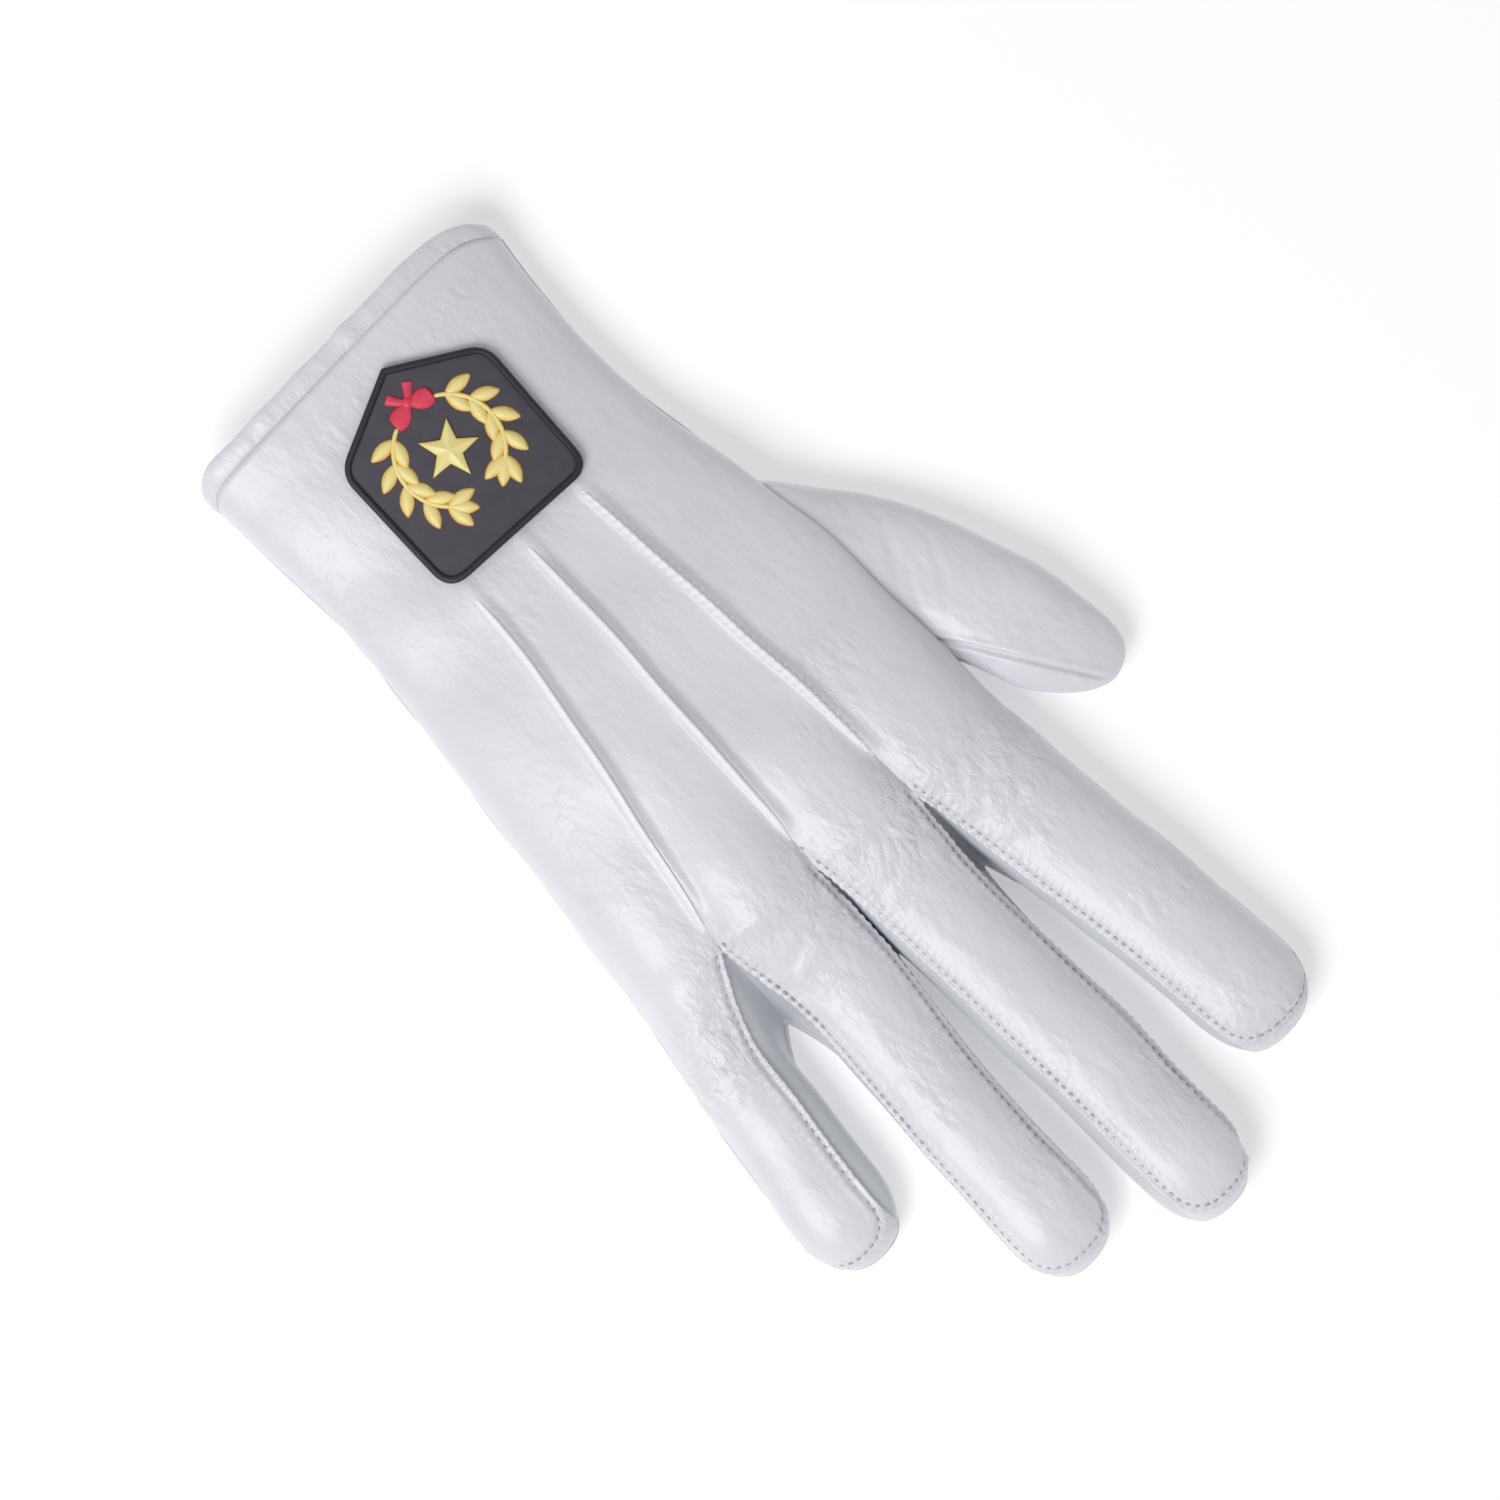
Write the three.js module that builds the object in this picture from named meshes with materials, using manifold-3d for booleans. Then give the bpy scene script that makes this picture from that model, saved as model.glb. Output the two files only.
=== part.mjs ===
// A white leather parade glove for the right hand, lying palm down. All lengths are millimetres.
// X runs from the thumb side to the little finger, Y from the cuff to the fingertips, Z up.
// Every panel is a curved sheet between its seams, given a leather wall inwards.
import * as THREE from "three";
import { mergeGeometries, mergeVertices } from "three/addons/utils/BufferGeometryUtils.js";
import Module from "manifold-3d";

const wasm = await Module();
wasm.setup();

// Main sizes of the glove
const BODY_LENGTH = 267;
const KNUCKLE_WIDTH = 104.5;
const HAND_HEIGHT = 24;
const LEATHER = 1.2;
const GAP = 0.3;

// Hem folded round the mouth of the cuff, drawn back where it turns round the sides
const HEM_DEPTH = 4.8;
const HEM_THICKNESS = 2.4;
const HEM_PUFF = 0.5;
const HEM_GAP = 0.5;
const HEM_BACK_THUMB_SIDE = { most: HEM_DEPTH * 1.35, power: 8 };
const HEM_BACK_LITTLE_SIDE = { most: HEM_DEPTH * 0.83, power: 20 };
const HEM_BACK_REACH = BODY_LENGTH * 0.112;

// Fullness of the sections: 2 is an ellipse, more is squarer
const BACK_FULLNESS = 2.3;
const PALM_FULLNESS = 3;
const FINGER_TOP_FULLNESS = 2.2;
const FINGER_UNDER_FULLNESS = 2.8;
const TIP_FULLNESS = 2.4;

// Columns of facets across each of the four strips
const BACK_COLUMNS = 5;
const PALM_COLUMNS = 5;

// Share of the palm's bowl that is pressed flat where the glove rests
const PALM_FLAT_SHARE = 0.05;

// Fingers
const TIP_LENGTH = BODY_LENGTH * 0.06;
const GUSSET_END = 0.93;
const WEB_FADE = 0.35;
const SEAM_MARGIN = 0.7;
const UNDER_SEAM_MARGIN = 1;
const WEB_TOP_MARGIN = LEATHER;
const WEB_UNDER_MARGIN = LEATHER * 3;
const KNUCKLE_START = 0.7;
const UPRIGHT_LIMIT = 0.5;
const PALM_BLEND_START = 0.86;

// Three raised tucks on the back
const POINT_START = BODY_LENGTH * 0.232;
const POINT_END = BODY_LENGTH * 0.547;
const POINT_WIDTH = 2.6;
const POINT_RISE = 1.5;
const POINT_SEAT = GAP / 2 + 0.3;

// Badge on the back of the hand, point towards the cuff
const BADGE_MIDDLE = { x: KNUCKLE_WIDTH * -0.0115, y: BODY_LENGTH * 0.116 };
const BADGE_TURN = THREE.MathUtils.degToRad(-4);
const BADGE_WIDTH = 42.5;
const BADGE_LENGTH = 46;
const BADGE_THICKNESS = 1.2;
const RIM_WIDTH = 1.6;
const RIM_RISE = 0.9;
const MOTIF_RISE = 0.7;
const WREATH_RADIUS = BADGE_WIDTH * 0.287;
const LEAF_PAIRS = 5;
const LEAF_LENGTH = BADGE_WIDTH * 0.174;
const LEAF_WIDTH = BADGE_WIDTH * 0.08;
const STEM_WIDTH = 1;
const STAR_RADIUS = BADGE_WIDTH * 0.165;
const STAR_WAIST = 0.42;
const TIE_WIDTH = BADGE_WIDTH * 0.26;
const TIE_LENGTH = BADGE_LENGTH * 0.13;
const TIE_PLACE = BADGE_LENGTH * -0.298;

// Body of the hand from the hem line to the crotches between the fingers.
// at: share of BODY_LENGTH. left, first, second, third, right: the outer edges and the three
// dividing lines as shares of KNUCKLE_WIDTH. top, leftSeam, rightSeam: shares of HAND_HEIGHT.
const HAND = [
  {
    at: 0, left: -0.402, first: -0.134, second: 0.01,
    third: 0.144, right: 0.417, top: 0.79, leftSeam: 0.33, rightSeam: 0.35,
  },
  {
    at: 0.082, left: -0.381, first: -0.139, second: 0.012,
    third: 0.151, right: 0.412, top: 0.77, leftSeam: 0.33, rightSeam: 0.35,
  },
  {
    at: 0.169, left: -0.37, first: -0.144, second: 0.013,
    third: 0.161, right: 0.414, top: 0.78, leftSeam: 0.34, rightSeam: 0.35,
  },
  {
    at: 0.243, left: -0.387, first: -0.148, second: 0.019,
    third: 0.176, right: 0.44, top: 0.84, leftSeam: 0.41, rightSeam: 0.36,
  },
  {
    at: 0.318, left: -0.415, first: -0.154, second: 0.029,
    third: 0.206, right: 0.469, top: 0.94, leftSeam: 0.54, rightSeam: 0.38,
  },
  {
    at: 0.393, left: -0.431, first: -0.162, second: 0.043,
    third: 0.245, right: 0.498, top: 1, leftSeam: 0.63, rightSeam: 0.39,
  },
  {
    at: 0.468, left: -0.433, first: -0.171, second: 0.057,
    third: 0.292, right: 0.527, top: 1, leftSeam: 0.6, rightSeam: 0.38,
  },
  {
    at: 0.565, left: -0.43, first: -0.168, second: 0.084,
    third: 0.347, right: 0.566, top: 0.9, leftSeam: 0.45, rightSeam: 0.36,
  },
];

// Ends of the five lines that bound the four strips. topEnd is the crotch on the back and
// underEnd the crotch on the palm as shares of BODY_LENGTH, underAcross a share of KNUCKLE_WIDTH.
const LINES = [
  { column: "left", topEnd: 0.577, underEnd: 0.663 },
  { column: "first", topEnd: 0.577, underEnd: 0.663, underAcross: -0.163 },
  { column: "second", topEnd: 0.562, underEnd: 0.663, underAcross: 0.094 },
  { column: "third", topEnd: 0.554, underEnd: 0.637, underAcross: 0.359 },
  { column: "right", topEnd: 0.554, underEnd: 0.637 },
].map((line) => ({ ...line, top: line.topEnd * BODY_LENGTH, under: line.underEnd * BODY_LENGTH }));
const UNDER_CROTCH_HEIGHT = HAND_HEIGHT * 0.025;

// Cut edges shorter than this are closed up
const CUT_TOLERANCE = 0.02;

// Fingers from the thumb side on. reach: the tip as a share of BODY_LENGTH. full: the height as a
// share of HAND_HEIGHT. The four angles place the seams round the section in degrees, 0 at the
// little finger's side, 90 on top, 270 underneath.
// Rows: at is the share from the crotch to the tip, middle and half are shares of KNUCKLE_WIDTH,
// tall is a share of the finger's height.
const FINGERS = [
  {
    name: "index", reach: 0.9356, full: 0.729,
    topLeft: 180, topRight: 44, underLeft: 180, underRight: 316,
    rows: [
      { at: 0, middle: -0.299, half: 0.133, tall: 1.14 },
      { at: 0.27, middle: -0.312, half: 0.134, tall: 1.06 },
      { at: 0.64, middle: -0.345, half: 0.13, tall: 1 },
      { at: 0.86, middle: -0.354, half: 0.128, tall: 0.96 },
      { at: 1, middle: -0.352, half: 0.126, tall: 0.92 },
    ],
  },
  {
    name: "middle", reach: 1, full: 0.771,
    topLeft: 153, topRight: 50, underLeft: 214, underRight: 315,
    rows: [
      { at: 0, middle: -0.041, half: 0.123, tall: 1.13 },
      { at: 0.22, middle: -0.028, half: 0.121, tall: 1.06 },
      { at: 0.42, middle: -0.028, half: 0.124, tall: 1.02 },
      { at: 0.64, middle: -0.027, half: 0.123, tall: 1 },
      { at: 0.85, middle: -0.02, half: 0.119, tall: 0.95 },
      { at: 1, middle: -0.01, half: 0.115, tall: 0.9 },
    ],
  },
  {
    name: "ring", reach: 0.9506, full: 0.729,
    topLeft: 148, topRight: 32, underLeft: 218, underRight: 322,
    rows: [
      { at: 0, middle: 0.214, half: 0.128, tall: 1.14 },
      { at: 0.25, middle: 0.211, half: 0.12, tall: 1.07 },
      { at: 0.49, middle: 0.24, half: 0.114, tall: 1.02 },
      { at: 0.68, middle: 0.256, half: 0.1125, tall: 1 },
      { at: 0.85, middle: 0.266, half: 0.116, tall: 0.97 },
      { at: 1, middle: 0.272, half: 0.113, tall: 0.92 },
    ],
  },
  {
    name: "little", reach: 0.824, full: 0.646,
    topLeft: 114, topRight: 0, underLeft: 232, underRight: 360,
    rows: [
      { at: 0, middle: 0.459, half: 0.111, tall: 1.18 },
      { at: 0.29, middle: 0.499, half: 0.107, tall: 1.08 },
      { at: 0.51, middle: 0.523, half: 0.112, tall: 1 },
      { at: 0.78, middle: 0.554, half: 0.114, tall: 0.97 },
      { at: 1, middle: 0.564, half: 0.11, tall: 0.92 },
    ],
  },
].map((finger) => ({ ...finger, tip: finger.reach * BODY_LENGTH, height: finger.full * HAND_HEIGHT }));

// Thumb along its axis. across and along: shares of KNUCKLE_WIDTH and BODY_LENGTH,
// lean: angle of the axis from Y, half: half width as a share of THUMB_WIDTH,
// tall: share of THUMB_HEIGHT.
const THUMB_WIDTH = KNUCKLE_WIDTH * 0.249;
const THUMB_HEIGHT = HAND_HEIGHT * 0.625;
const THUMB_LIFT = LEATHER / 3;
const THUMB_TIP_SHARE = 0.84;
const THUMB = [
  { at: 0, across: -0.23, along: 0.295, lean: 42, half: 0.42, tall: 0.74 },
  { at: 0.14, across: -0.322, along: 0.338, lean: 40, half: 0.46, tall: 0.8 },
  { at: 0.26, across: -0.384, along: 0.373, lean: 37, half: 0.48, tall: 0.84 },
  { at: 0.4, across: -0.452, along: 0.412, lean: 32, half: 0.5, tall: 0.9 },
  { at: 0.6, across: -0.517, along: 0.468, lean: 26, half: 0.5, tall: 0.97 },
  { at: 0.8, across: -0.568, along: 0.53, lean: 24, half: 0.5, tall: 1 },
  { at: 0.92, across: -0.603, along: 0.577, lean: 24, half: 0.49, tall: 0.96 },
  { at: 1, across: -0.665, along: 0.63, lean: 24, half: 0.47, tall: 0.9 },
];

// Corners of the badge as shares of its width and length, with the radius of each corner
const BADGE_CORNERS = [
  { across: -0.02, along: -0.5, radius: 0.6 },
  { across: 0.5, along: -0.26, radius: 4.5 },
  { across: 0.485, along: 0.5, radius: 5.8 },
  { across: -0.485, along: 0.5, radius: 5.2 },
  { across: -0.5, along: -0.26, radius: 4.2 },
];

// Colours
const WHITE_LEATHER = { color: 0xe6e6ea, roughness: 0.5, metalness: 0 };
const BADGE_CHARCOAL = { color: 0x4a4850, roughness: 0.7, metalness: 0 };
const RIM_BLACK = { color: 0x2e2c34, roughness: 0.6, metalness: 0 };
const MOTIF_GOLD = { color: 0xe8cf7c, roughness: 0.45, metalness: 0.1 };
const MOTIF_RED = { color: 0xd62d46, roughness: 0.5, metalness: 0 };

const lerp = THREE.MathUtils.lerp;
const clamp = THREE.MathUtils.clamp;
const toRadians = THREE.MathUtils.degToRad;

// Value of one column of a table at a place between its rows, on a smooth curve through them
function columnAt(rows, name, at) {
  const last = rows.length - 1;
  let row = 0;
  while (row < last - 1 && rows[row + 1].at < at) {
    row += 1;
  }
  const slopeAt = (index) => {
    const before = rows[Math.max(index - 1, 0)];
    const after = rows[Math.min(index + 1, last)];
    return (after[name] - before[name]) / (after.at - before.at);
  };
  const from = rows[row];
  const to = rows[row + 1];
  const span = to.at - from.at;
  const t = clamp((at - from.at) / span, 0, 1);
  const square = t * t;
  const cube = square * t;
  const start = (2 * cube - 3 * square + 1) * from[name] + (cube - 2 * square + t) * span * slopeAt(row);
  const end = (3 * square - 2 * cube) * to[name] + (cube - square) * span * slopeAt(row + 1);
  return start + end;
}

// Cosine or sine bent towards a squarer section
function bent(value, fullness) {
  return Math.sign(value) * Math.abs(value) ** (2 / fullness);
}

// Quarter of a full curve: 1 in the middle, 0 at the end
function arch(share, fullness) {
  const reach = clamp(Math.abs(share), 0, 1);
  return (1 - reach ** fullness) ** (1 / fullness);
}

function handAcross(name, y) {
  return columnAt(HAND, name, y / BODY_LENGTH) * KNUCKLE_WIDTH;
}

function handHeight(name, y) {
  return columnAt(HAND, name, y / BODY_LENGTH) * HAND_HEIGHT;
}

// How far the section at a place across is drawn back from the cuff's mouth
function drawnBack(share, y) {
  const fade = clamp(1 - y / HEM_BACK_REACH, 0, 1) ** 2;
  const side = share < 0 ? HEM_BACK_THUMB_SIDE : HEM_BACK_LITTLE_SIDE;
  return side.most * Math.abs(share) ** side.power * fade;
}

// Section of one finger: a full tube that closes to a round tip
function fingerSection(finger, root, y) {
  const at = clamp((y - root) / (finger.tip - root), 0, 1);
  const tipShare = clamp((y - finger.tip + TIP_LENGTH) / TIP_LENGTH, 0, 1);
  const shrink = arch(tipShare, TIP_FULLNESS);
  const tall = columnAt(finger.rows, "tall", at) * finger.height;
  return {
    middle: columnAt(finger.rows, "middle", at) * KNUCKLE_WIDTH,
    half: columnAt(finger.rows, "half", at) * KNUCKLE_WIDTH * shrink,
    centre: tall / 2,
    rise: (tall / 2) * shrink,
    seamShare: 1 - Math.min(tipShare / GUSSET_END, 1) ** 4,
  };
}

// Point on a finger at an angle; near the tip the seams run out to the finger's sides
function onFinger(finger, root, y, degrees) {
  const section = fingerSection(finger, root, y);
  const angle = toRadians(degrees);
  const fullness = Math.sin(angle) < 0 ? FINGER_UNDER_FULLNESS : FINGER_TOP_FULLNESS;
  const x = section.middle + section.half * bent(Math.cos(angle), fullness);
  const z = section.centre + section.rise * bent(Math.sin(angle), fullness);
  return new THREE.Vector3(x, y, Math.max(z, 0));
}

// Angle of a seam at a place along the finger, drawn to the side that it belongs to at the tip
function seamAngle(finger, root, y, name) {
  const side = { topLeft: 180, topRight: 0, underLeft: 180, underRight: 360 }[name];
  const share = fingerSection(finger, root, y).seamShare;
  return lerp(side, finger[name], share);
}

function fadeFrom(share) {
  return clamp(1 - share / WEB_FADE, 0, 1) ** 2;
}

// Outer edge of the body on the thumb side (line 0) or the little finger's side (line 4)
function outerEdge(line, y) {
  const finger = line === 0 ? FINGERS[0] : FINGERS[3];
  const side = line === 0 ? 180 : 0;
  const root = LINES[line].top;
  if (y <= root) {
    const seam = line === 0 ? "leftSeam" : "rightSeam";
    const x = handAcross(LINES[line].column, y);
    const share = line === 0 ? -1 : 1;
    return new THREE.Vector3(x, y + drawnBack(share, y), handHeight(seam, y));
  }
  const at = (y - root) / (finger.tip - root);
  const drift = outerEdge(line, root).sub(onFinger(finger, root, root, side));
  return onFinger(finger, root, y, side).addScaledVector(drift, fadeFrom(at));
}

// Height of the back at a place, as one dome from edge to edge
function backHeight(x, y) {
  const left = handAcross("left", y);
  const right = handAcross("right", y);
  const share = clamp((2 * (x - left)) / (right - left) - 1, -1, 1);
  const edge = handHeight(share < 0 ? "leftSeam" : "rightSeam", y);
  return edge + (handHeight("top", y) - edge) * arch(share, BACK_FULLNESS);
}

// Point of the back's dome on the hand
function onBack(x, y) {
  const left = handAcross("left", y);
  const right = handAcross("right", y);
  const share = clamp((2 * (x - left)) / (right - left) - 1, -1, 1);
  return new THREE.Vector3(x, y + drawnBack(share, y), backHeight(x, y));
}

// Point of the palm's bowl, flat in the middle and turned up to the side seams
function onPalm(x, y) {
  const leftEdge = outerEdge(0, y);
  const rightEdge = outerEdge(4, y);
  const share = clamp((2 * (x - leftEdge.x)) / (rightEdge.x - leftEdge.x) - 1, -1, 1);
  const edge = share < 0 ? leftEdge.z : rightEdge.z;
  const lift = 1 - arch(share, PALM_FULLNESS);
  const z = edge * Math.max(0, (lift - PALM_FLAT_SHARE) / (1 - PALM_FLAT_SHARE));
  return new THREE.Vector3(x, y + drawnBack(share, y), z);
}

// Crotch between two fingers on the back or on the palm; the outer lines have their edge there
function crotch(line, under) {
  const row = LINES[line];
  if (line === 0 || line === 4) {
    return outerEdge(line, under ? row.under : row.top);
  }
  if (under) {
    return new THREE.Vector3(row.underAcross * KNUCKLE_WIDTH, row.under, UNDER_CROTCH_HEIGHT);
  }
  return onBack(handAcross(row.column, row.top), row.top);
}

// Place of a dividing line across the palm, which runs on past the crotch of the back
function lineAcross(line, y) {
  const row = LINES[line];
  if (line === 0 || line === 4) {
    return outerEdge(line, y).x;
  }
  const past = clamp((y - row.top) / (row.under - row.top), 0, 1);
  return lerp(handAcross(row.column, Math.min(y, row.top)), row.underAcross * KNUCKLE_WIDTH, past);
}

// Point of a finger's back or palm tongue: share runs from its left seam to its right one
function onTongue(index, along, share, under) {
  const finger = FINGERS[index];
  const root = LINES[index].top;
  const start = crotch(index, under);
  const end = crotch(index + 1, under);
  const leftY = lerp(start.y, finger.tip, along);
  const rightY = lerp(end.y, finger.tip, along);
  const names = under ? ["underLeft", "underRight"] : ["topLeft", "topRight"];
  const place = (part, alongY) => {
    const left = seamAngle(finger, root, alongY, names[0]);
    const right = seamAngle(finger, root, alongY, names[1]);
    return onFinger(finger, root, alongY, lerp(left, right, part));
  };
  const point = place(share, lerp(leftY, rightY, share));
  const fade = fadeFrom(along);
  const leftDrift = start.clone().sub(place(0, start.y));
  const rightDrift = end.clone().sub(place(1, end.y));
  point.addScaledVector(leftDrift, fade * (1 - share));
  point.addScaledVector(rightDrift, fade * share);
  point.z = Math.max(point.z, 0);
  return point;
}

// Point of one strip of the body, between the hem line and the crotches
function onBody(index, along, share, under) {
  const start = crotch(index, under);
  const end = crotch(index + 1, under);
  const leftY = start.y * along;
  const rightY = end.y * along;
  const y = lerp(leftY, rightY, share);
  const quarter = (share * Math.PI) / 2;
  const spread = [1 - Math.cos(quarter), share, share, Math.sin(quarter)][index];
  const onBackLine = (line, alongY) => handAcross(LINES[line].column, alongY);
  const across = under ? lineAcross : onBackLine;
  const x = lerp(across(index, y), across(index + 1, y), spread);
  const point = under ? onPalm(x, y) : onBack(x, y);
  const blend = THREE.MathUtils.smoothstep(along, under ? PALM_BLEND_START : KNUCKLE_START, 1);
  if (blend === 0) {
    return point;
  }
  const edgePoint = (line, alongY) => {
    const edgeX = across(line, alongY);
    return under ? onPalm(edgeX, alongY) : onBack(edgeX, alongY);
  };
  const leftEdge = edgePoint(index, leftY).lerp(start, blend);
  const rightEdge = edgePoint(index + 1, rightY).lerp(end, blend);
  const swell = onTongue(index, 0, share, under).sub(start.lerp(end, share));
  const rounded = leftEdge.clone().lerp(rightEdge, share).add(swell);
  point.lerp(rounded, blend);
  point.z = Math.max(point.z, 0);
  if (share === 0) {
    return leftEdge;
  }
  return share === 1 ? rightEdge : point;
}

// Point of the gusset on one side of a finger: share runs from the back's seam to the palm's
function onGusset(index, right, along, share) {
  const finger = FINGERS[index];
  const root = LINES[index].top;
  const line = right ? index + 1 : index;
  const topCrotch = crotch(line, false);
  const underCrotch = crotch(line, true);
  const place = (part, alongY) => {
    const top = seamAngle(finger, root, alongY, right ? "topRight" : "topLeft");
    const under = seamAngle(finger, root, alongY, right ? "underRight" : "underLeft");
    return onFinger(finger, root, alongY, right ? lerp(top, under - 360, part) : lerp(top, under, part));
  };
  const rootY = lerp(topCrotch.y, underCrotch.y, share);
  const y = lerp(rootY, finger.tip, along);
  const web = topCrotch.lerp(underCrotch, share);
  return place(share, y).addScaledVector(web.sub(place(share, rootY)), fadeFrom(along));
}

// Rows along a finger: even steps, then steps by angle round the tip
function fingerRows(index, under, evenSteps, tipSteps) {
  const line = LINES[index];
  const tip = FINGERS[index].tip;
  const root = under ? line.under : line.top;
  const straight = (tip - TIP_LENGTH - root) / (tip - root);
  const rows = [];
  for (let step = 1; step <= evenSteps; step += 1) {
    rows.push((straight * step) / evenSteps);
  }
  for (let step = 1; step <= tipSteps; step += 1) {
    rows.push(lerp(straight, 1, Math.sin((step / tipSteps) * (Math.PI / 2))));
  }
  return rows;
}

// Triangles of a grid of points, rows running along and columns across
function gridGeometry(rows, flipped) {
  const positions = [];
  const add = (...points) => {
    const ordered = flipped ? points.reverse() : points;
    ordered.forEach((point) => positions.push(point.x, point.y, point.z));
  };
  for (let row = 0; row < rows.length - 1; row += 1) {
    for (let column = 0; column < rows[row].length - 1; column += 1) {
      const near = rows[row];
      const far = rows[row + 1];
      add(near[column], near[column + 1], far[column + 1]);
      add(near[column], far[column + 1], far[column]);
    }
  }
  const geometry = new THREE.BufferGeometry();
  geometry.setAttribute("position", new THREE.Float32BufferAttribute(positions, 3));
  return geometry;
}

// One geometry with shared corners and without the triangles that have closed to a line
function welded(geometries) {
  const joined = mergeVertices(mergeGeometries(geometries), 1e-3);
  const kept = [];
  const index = joined.index.array;
  for (let start = 0; start < index.length; start += 3) {
    const [a, b, c] = [index[start], index[start + 1], index[start + 2]];
    if (a !== b && b !== c && c !== a) {
      kept.push(a, b, c);
    }
  }
  joined.setIndex(kept);
  joined.computeVertexNormals();
  return joined;
}

// Levels the wall of a panel along its upright edges, so that two panels meet face to face
function levelUprightEdges(surface) {
  const index = surface.index.array;
  const edges = new Set();
  for (let start = 0; start < index.length; start += 3) {
    [0, 1, 2].forEach((k) => edges.add(`${index[start + k]}_${index[start + ((k + 1) % 3)]}`));
  }
  const normals = surface.attributes.normal;
  const normal = new THREE.Vector3();
  edges.forEach((edge) => {
    const [from, to] = edge.split("_");
    if (edges.has(`${to}_${from}`)) {
      return;
    }
    [Number(from), Number(to)].forEach((corner) => {
      normal.fromBufferAttribute(normals, corner);
      if (Math.abs(normal.z) < UPRIGHT_LIMIT) {
        normal.setZ(0).normalize();
        normals.setXYZ(corner, normal.x, normal.y, normal.z);
      }
    });
  });
  return surface;
}

// Solid sheet: the welded surface moved out and in along its normals, closed round its edges
function sheet(surface, outwards, inwards) {
  const points = surface.attributes.position;
  const normals = surface.attributes.normal;
  const count = points.count;
  const positions = new Float32Array(count * 6);
  const point = new THREE.Vector3();
  const normal = new THREE.Vector3();
  for (let i = 0; i < count; i += 1) {
    point.fromBufferAttribute(points, i);
    normal.fromBufferAttribute(normals, i);
    point.clone().addScaledVector(normal, outwards).toArray(positions, i * 3);
    point.clone().addScaledVector(normal, -inwards).toArray(positions, (count + i) * 3);
  }
  const index = surface.index.array;
  const edges = new Map();
  const triangles = [];
  for (let start = 0; start < index.length; start += 3) {
    const corners = [index[start], index[start + 1], index[start + 2]];
    triangles.push(...corners);
    triangles.push(corners[2] + count, corners[1] + count, corners[0] + count);
    corners.forEach((from, k) => {
      const to = corners[(k + 1) % 3];
      edges.set(`${from}_${to}`, [from, to]);
    });
  }
  edges.forEach(([from, to]) => {
    if (!edges.has(`${to}_${from}`)) {
      triangles.push(to, from, from + count);
      triangles.push(to, from + count, to + count);
    }
  });
  const geometry = new THREE.BufferGeometry();
  geometry.setAttribute("position", new THREE.BufferAttribute(positions, 3));
  geometry.setIndex(triangles);
  return geometry;
}

// Closed tube from rings of points, with a fan over each end
function closedRings(rings, flipped) {
  const middleOf = (ring) => {
    const middle = new THREE.Vector3();
    ring.slice(0, -1).forEach((point) => middle.add(point));
    return middle.divideScalar(ring.length - 1);
  };
  const first = rings[0];
  const last = rings[rings.length - 1];
  const rows = [first.map(() => middleOf(first)), ...rings, last.map(() => middleOf(last))];
  return welded([gridGeometry(rows, flipped)]);
}

function positionsOnly(geometry) {
  const plain = new THREE.BufferGeometry();
  plain.setAttribute("position", geometry.attributes.position.clone());
  plain.setIndex(geometry.index);
  return plain;
}

function toSolid(geometry) {
  const merged = mergeVertices(positionsOnly(geometry), 1e-4);
  const vertProperties = Float32Array.from(merged.attributes.position.array);
  const triVerts = Uint32Array.from(merged.index.array);
  return new wasm.Manifold(new wasm.Mesh({ numProp: 3, vertProperties, triVerts }));
}

// Largest body of a cut solid as a geometry
function fromSolid(solid) {
  const bodies = solid.decompose();
  bodies.sort((a, b) => b.volume() - a.volume());
  const mesh = bodies[0].asOriginal().simplify(CUT_TOLERANCE).getMesh();
  const geometry = new THREE.BufferGeometry();
  const positions = Float32Array.from(mesh.vertProperties);
  geometry.setAttribute("position", new THREE.BufferAttribute(positions, 3));
  geometry.setIndex([...mesh.triVerts]);
  return geometry;
}

// Welded surface of the back or the palm: four strips that share the dividing lines
function panelSurface(under, bodySteps, columns) {
  const grids = [];
  const shares = Array.from({ length: columns + 1 }, (unused, k) => k / columns);
  FINGERS.forEach((finger, index) => {
    const rows = [];
    for (let step = 0; step <= bodySteps; step += 1) {
      rows.push(shares.map((share) => onBody(index, step / bodySteps, share, under)));
    }
    fingerRows(index, under, under ? 5 : 7, 5).forEach((along) => {
      rows.push(shares.map((share) => onTongue(index, along, share, under)));
    });
    const shift = under ? -GAP / 2 : GAP / 2;
    rows.flat().forEach((point) => {
      point.z += shift;
    });
    grids.push(gridGeometry(rows, under));
  });
  return levelUprightEdges(welded(grids));
}

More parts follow.
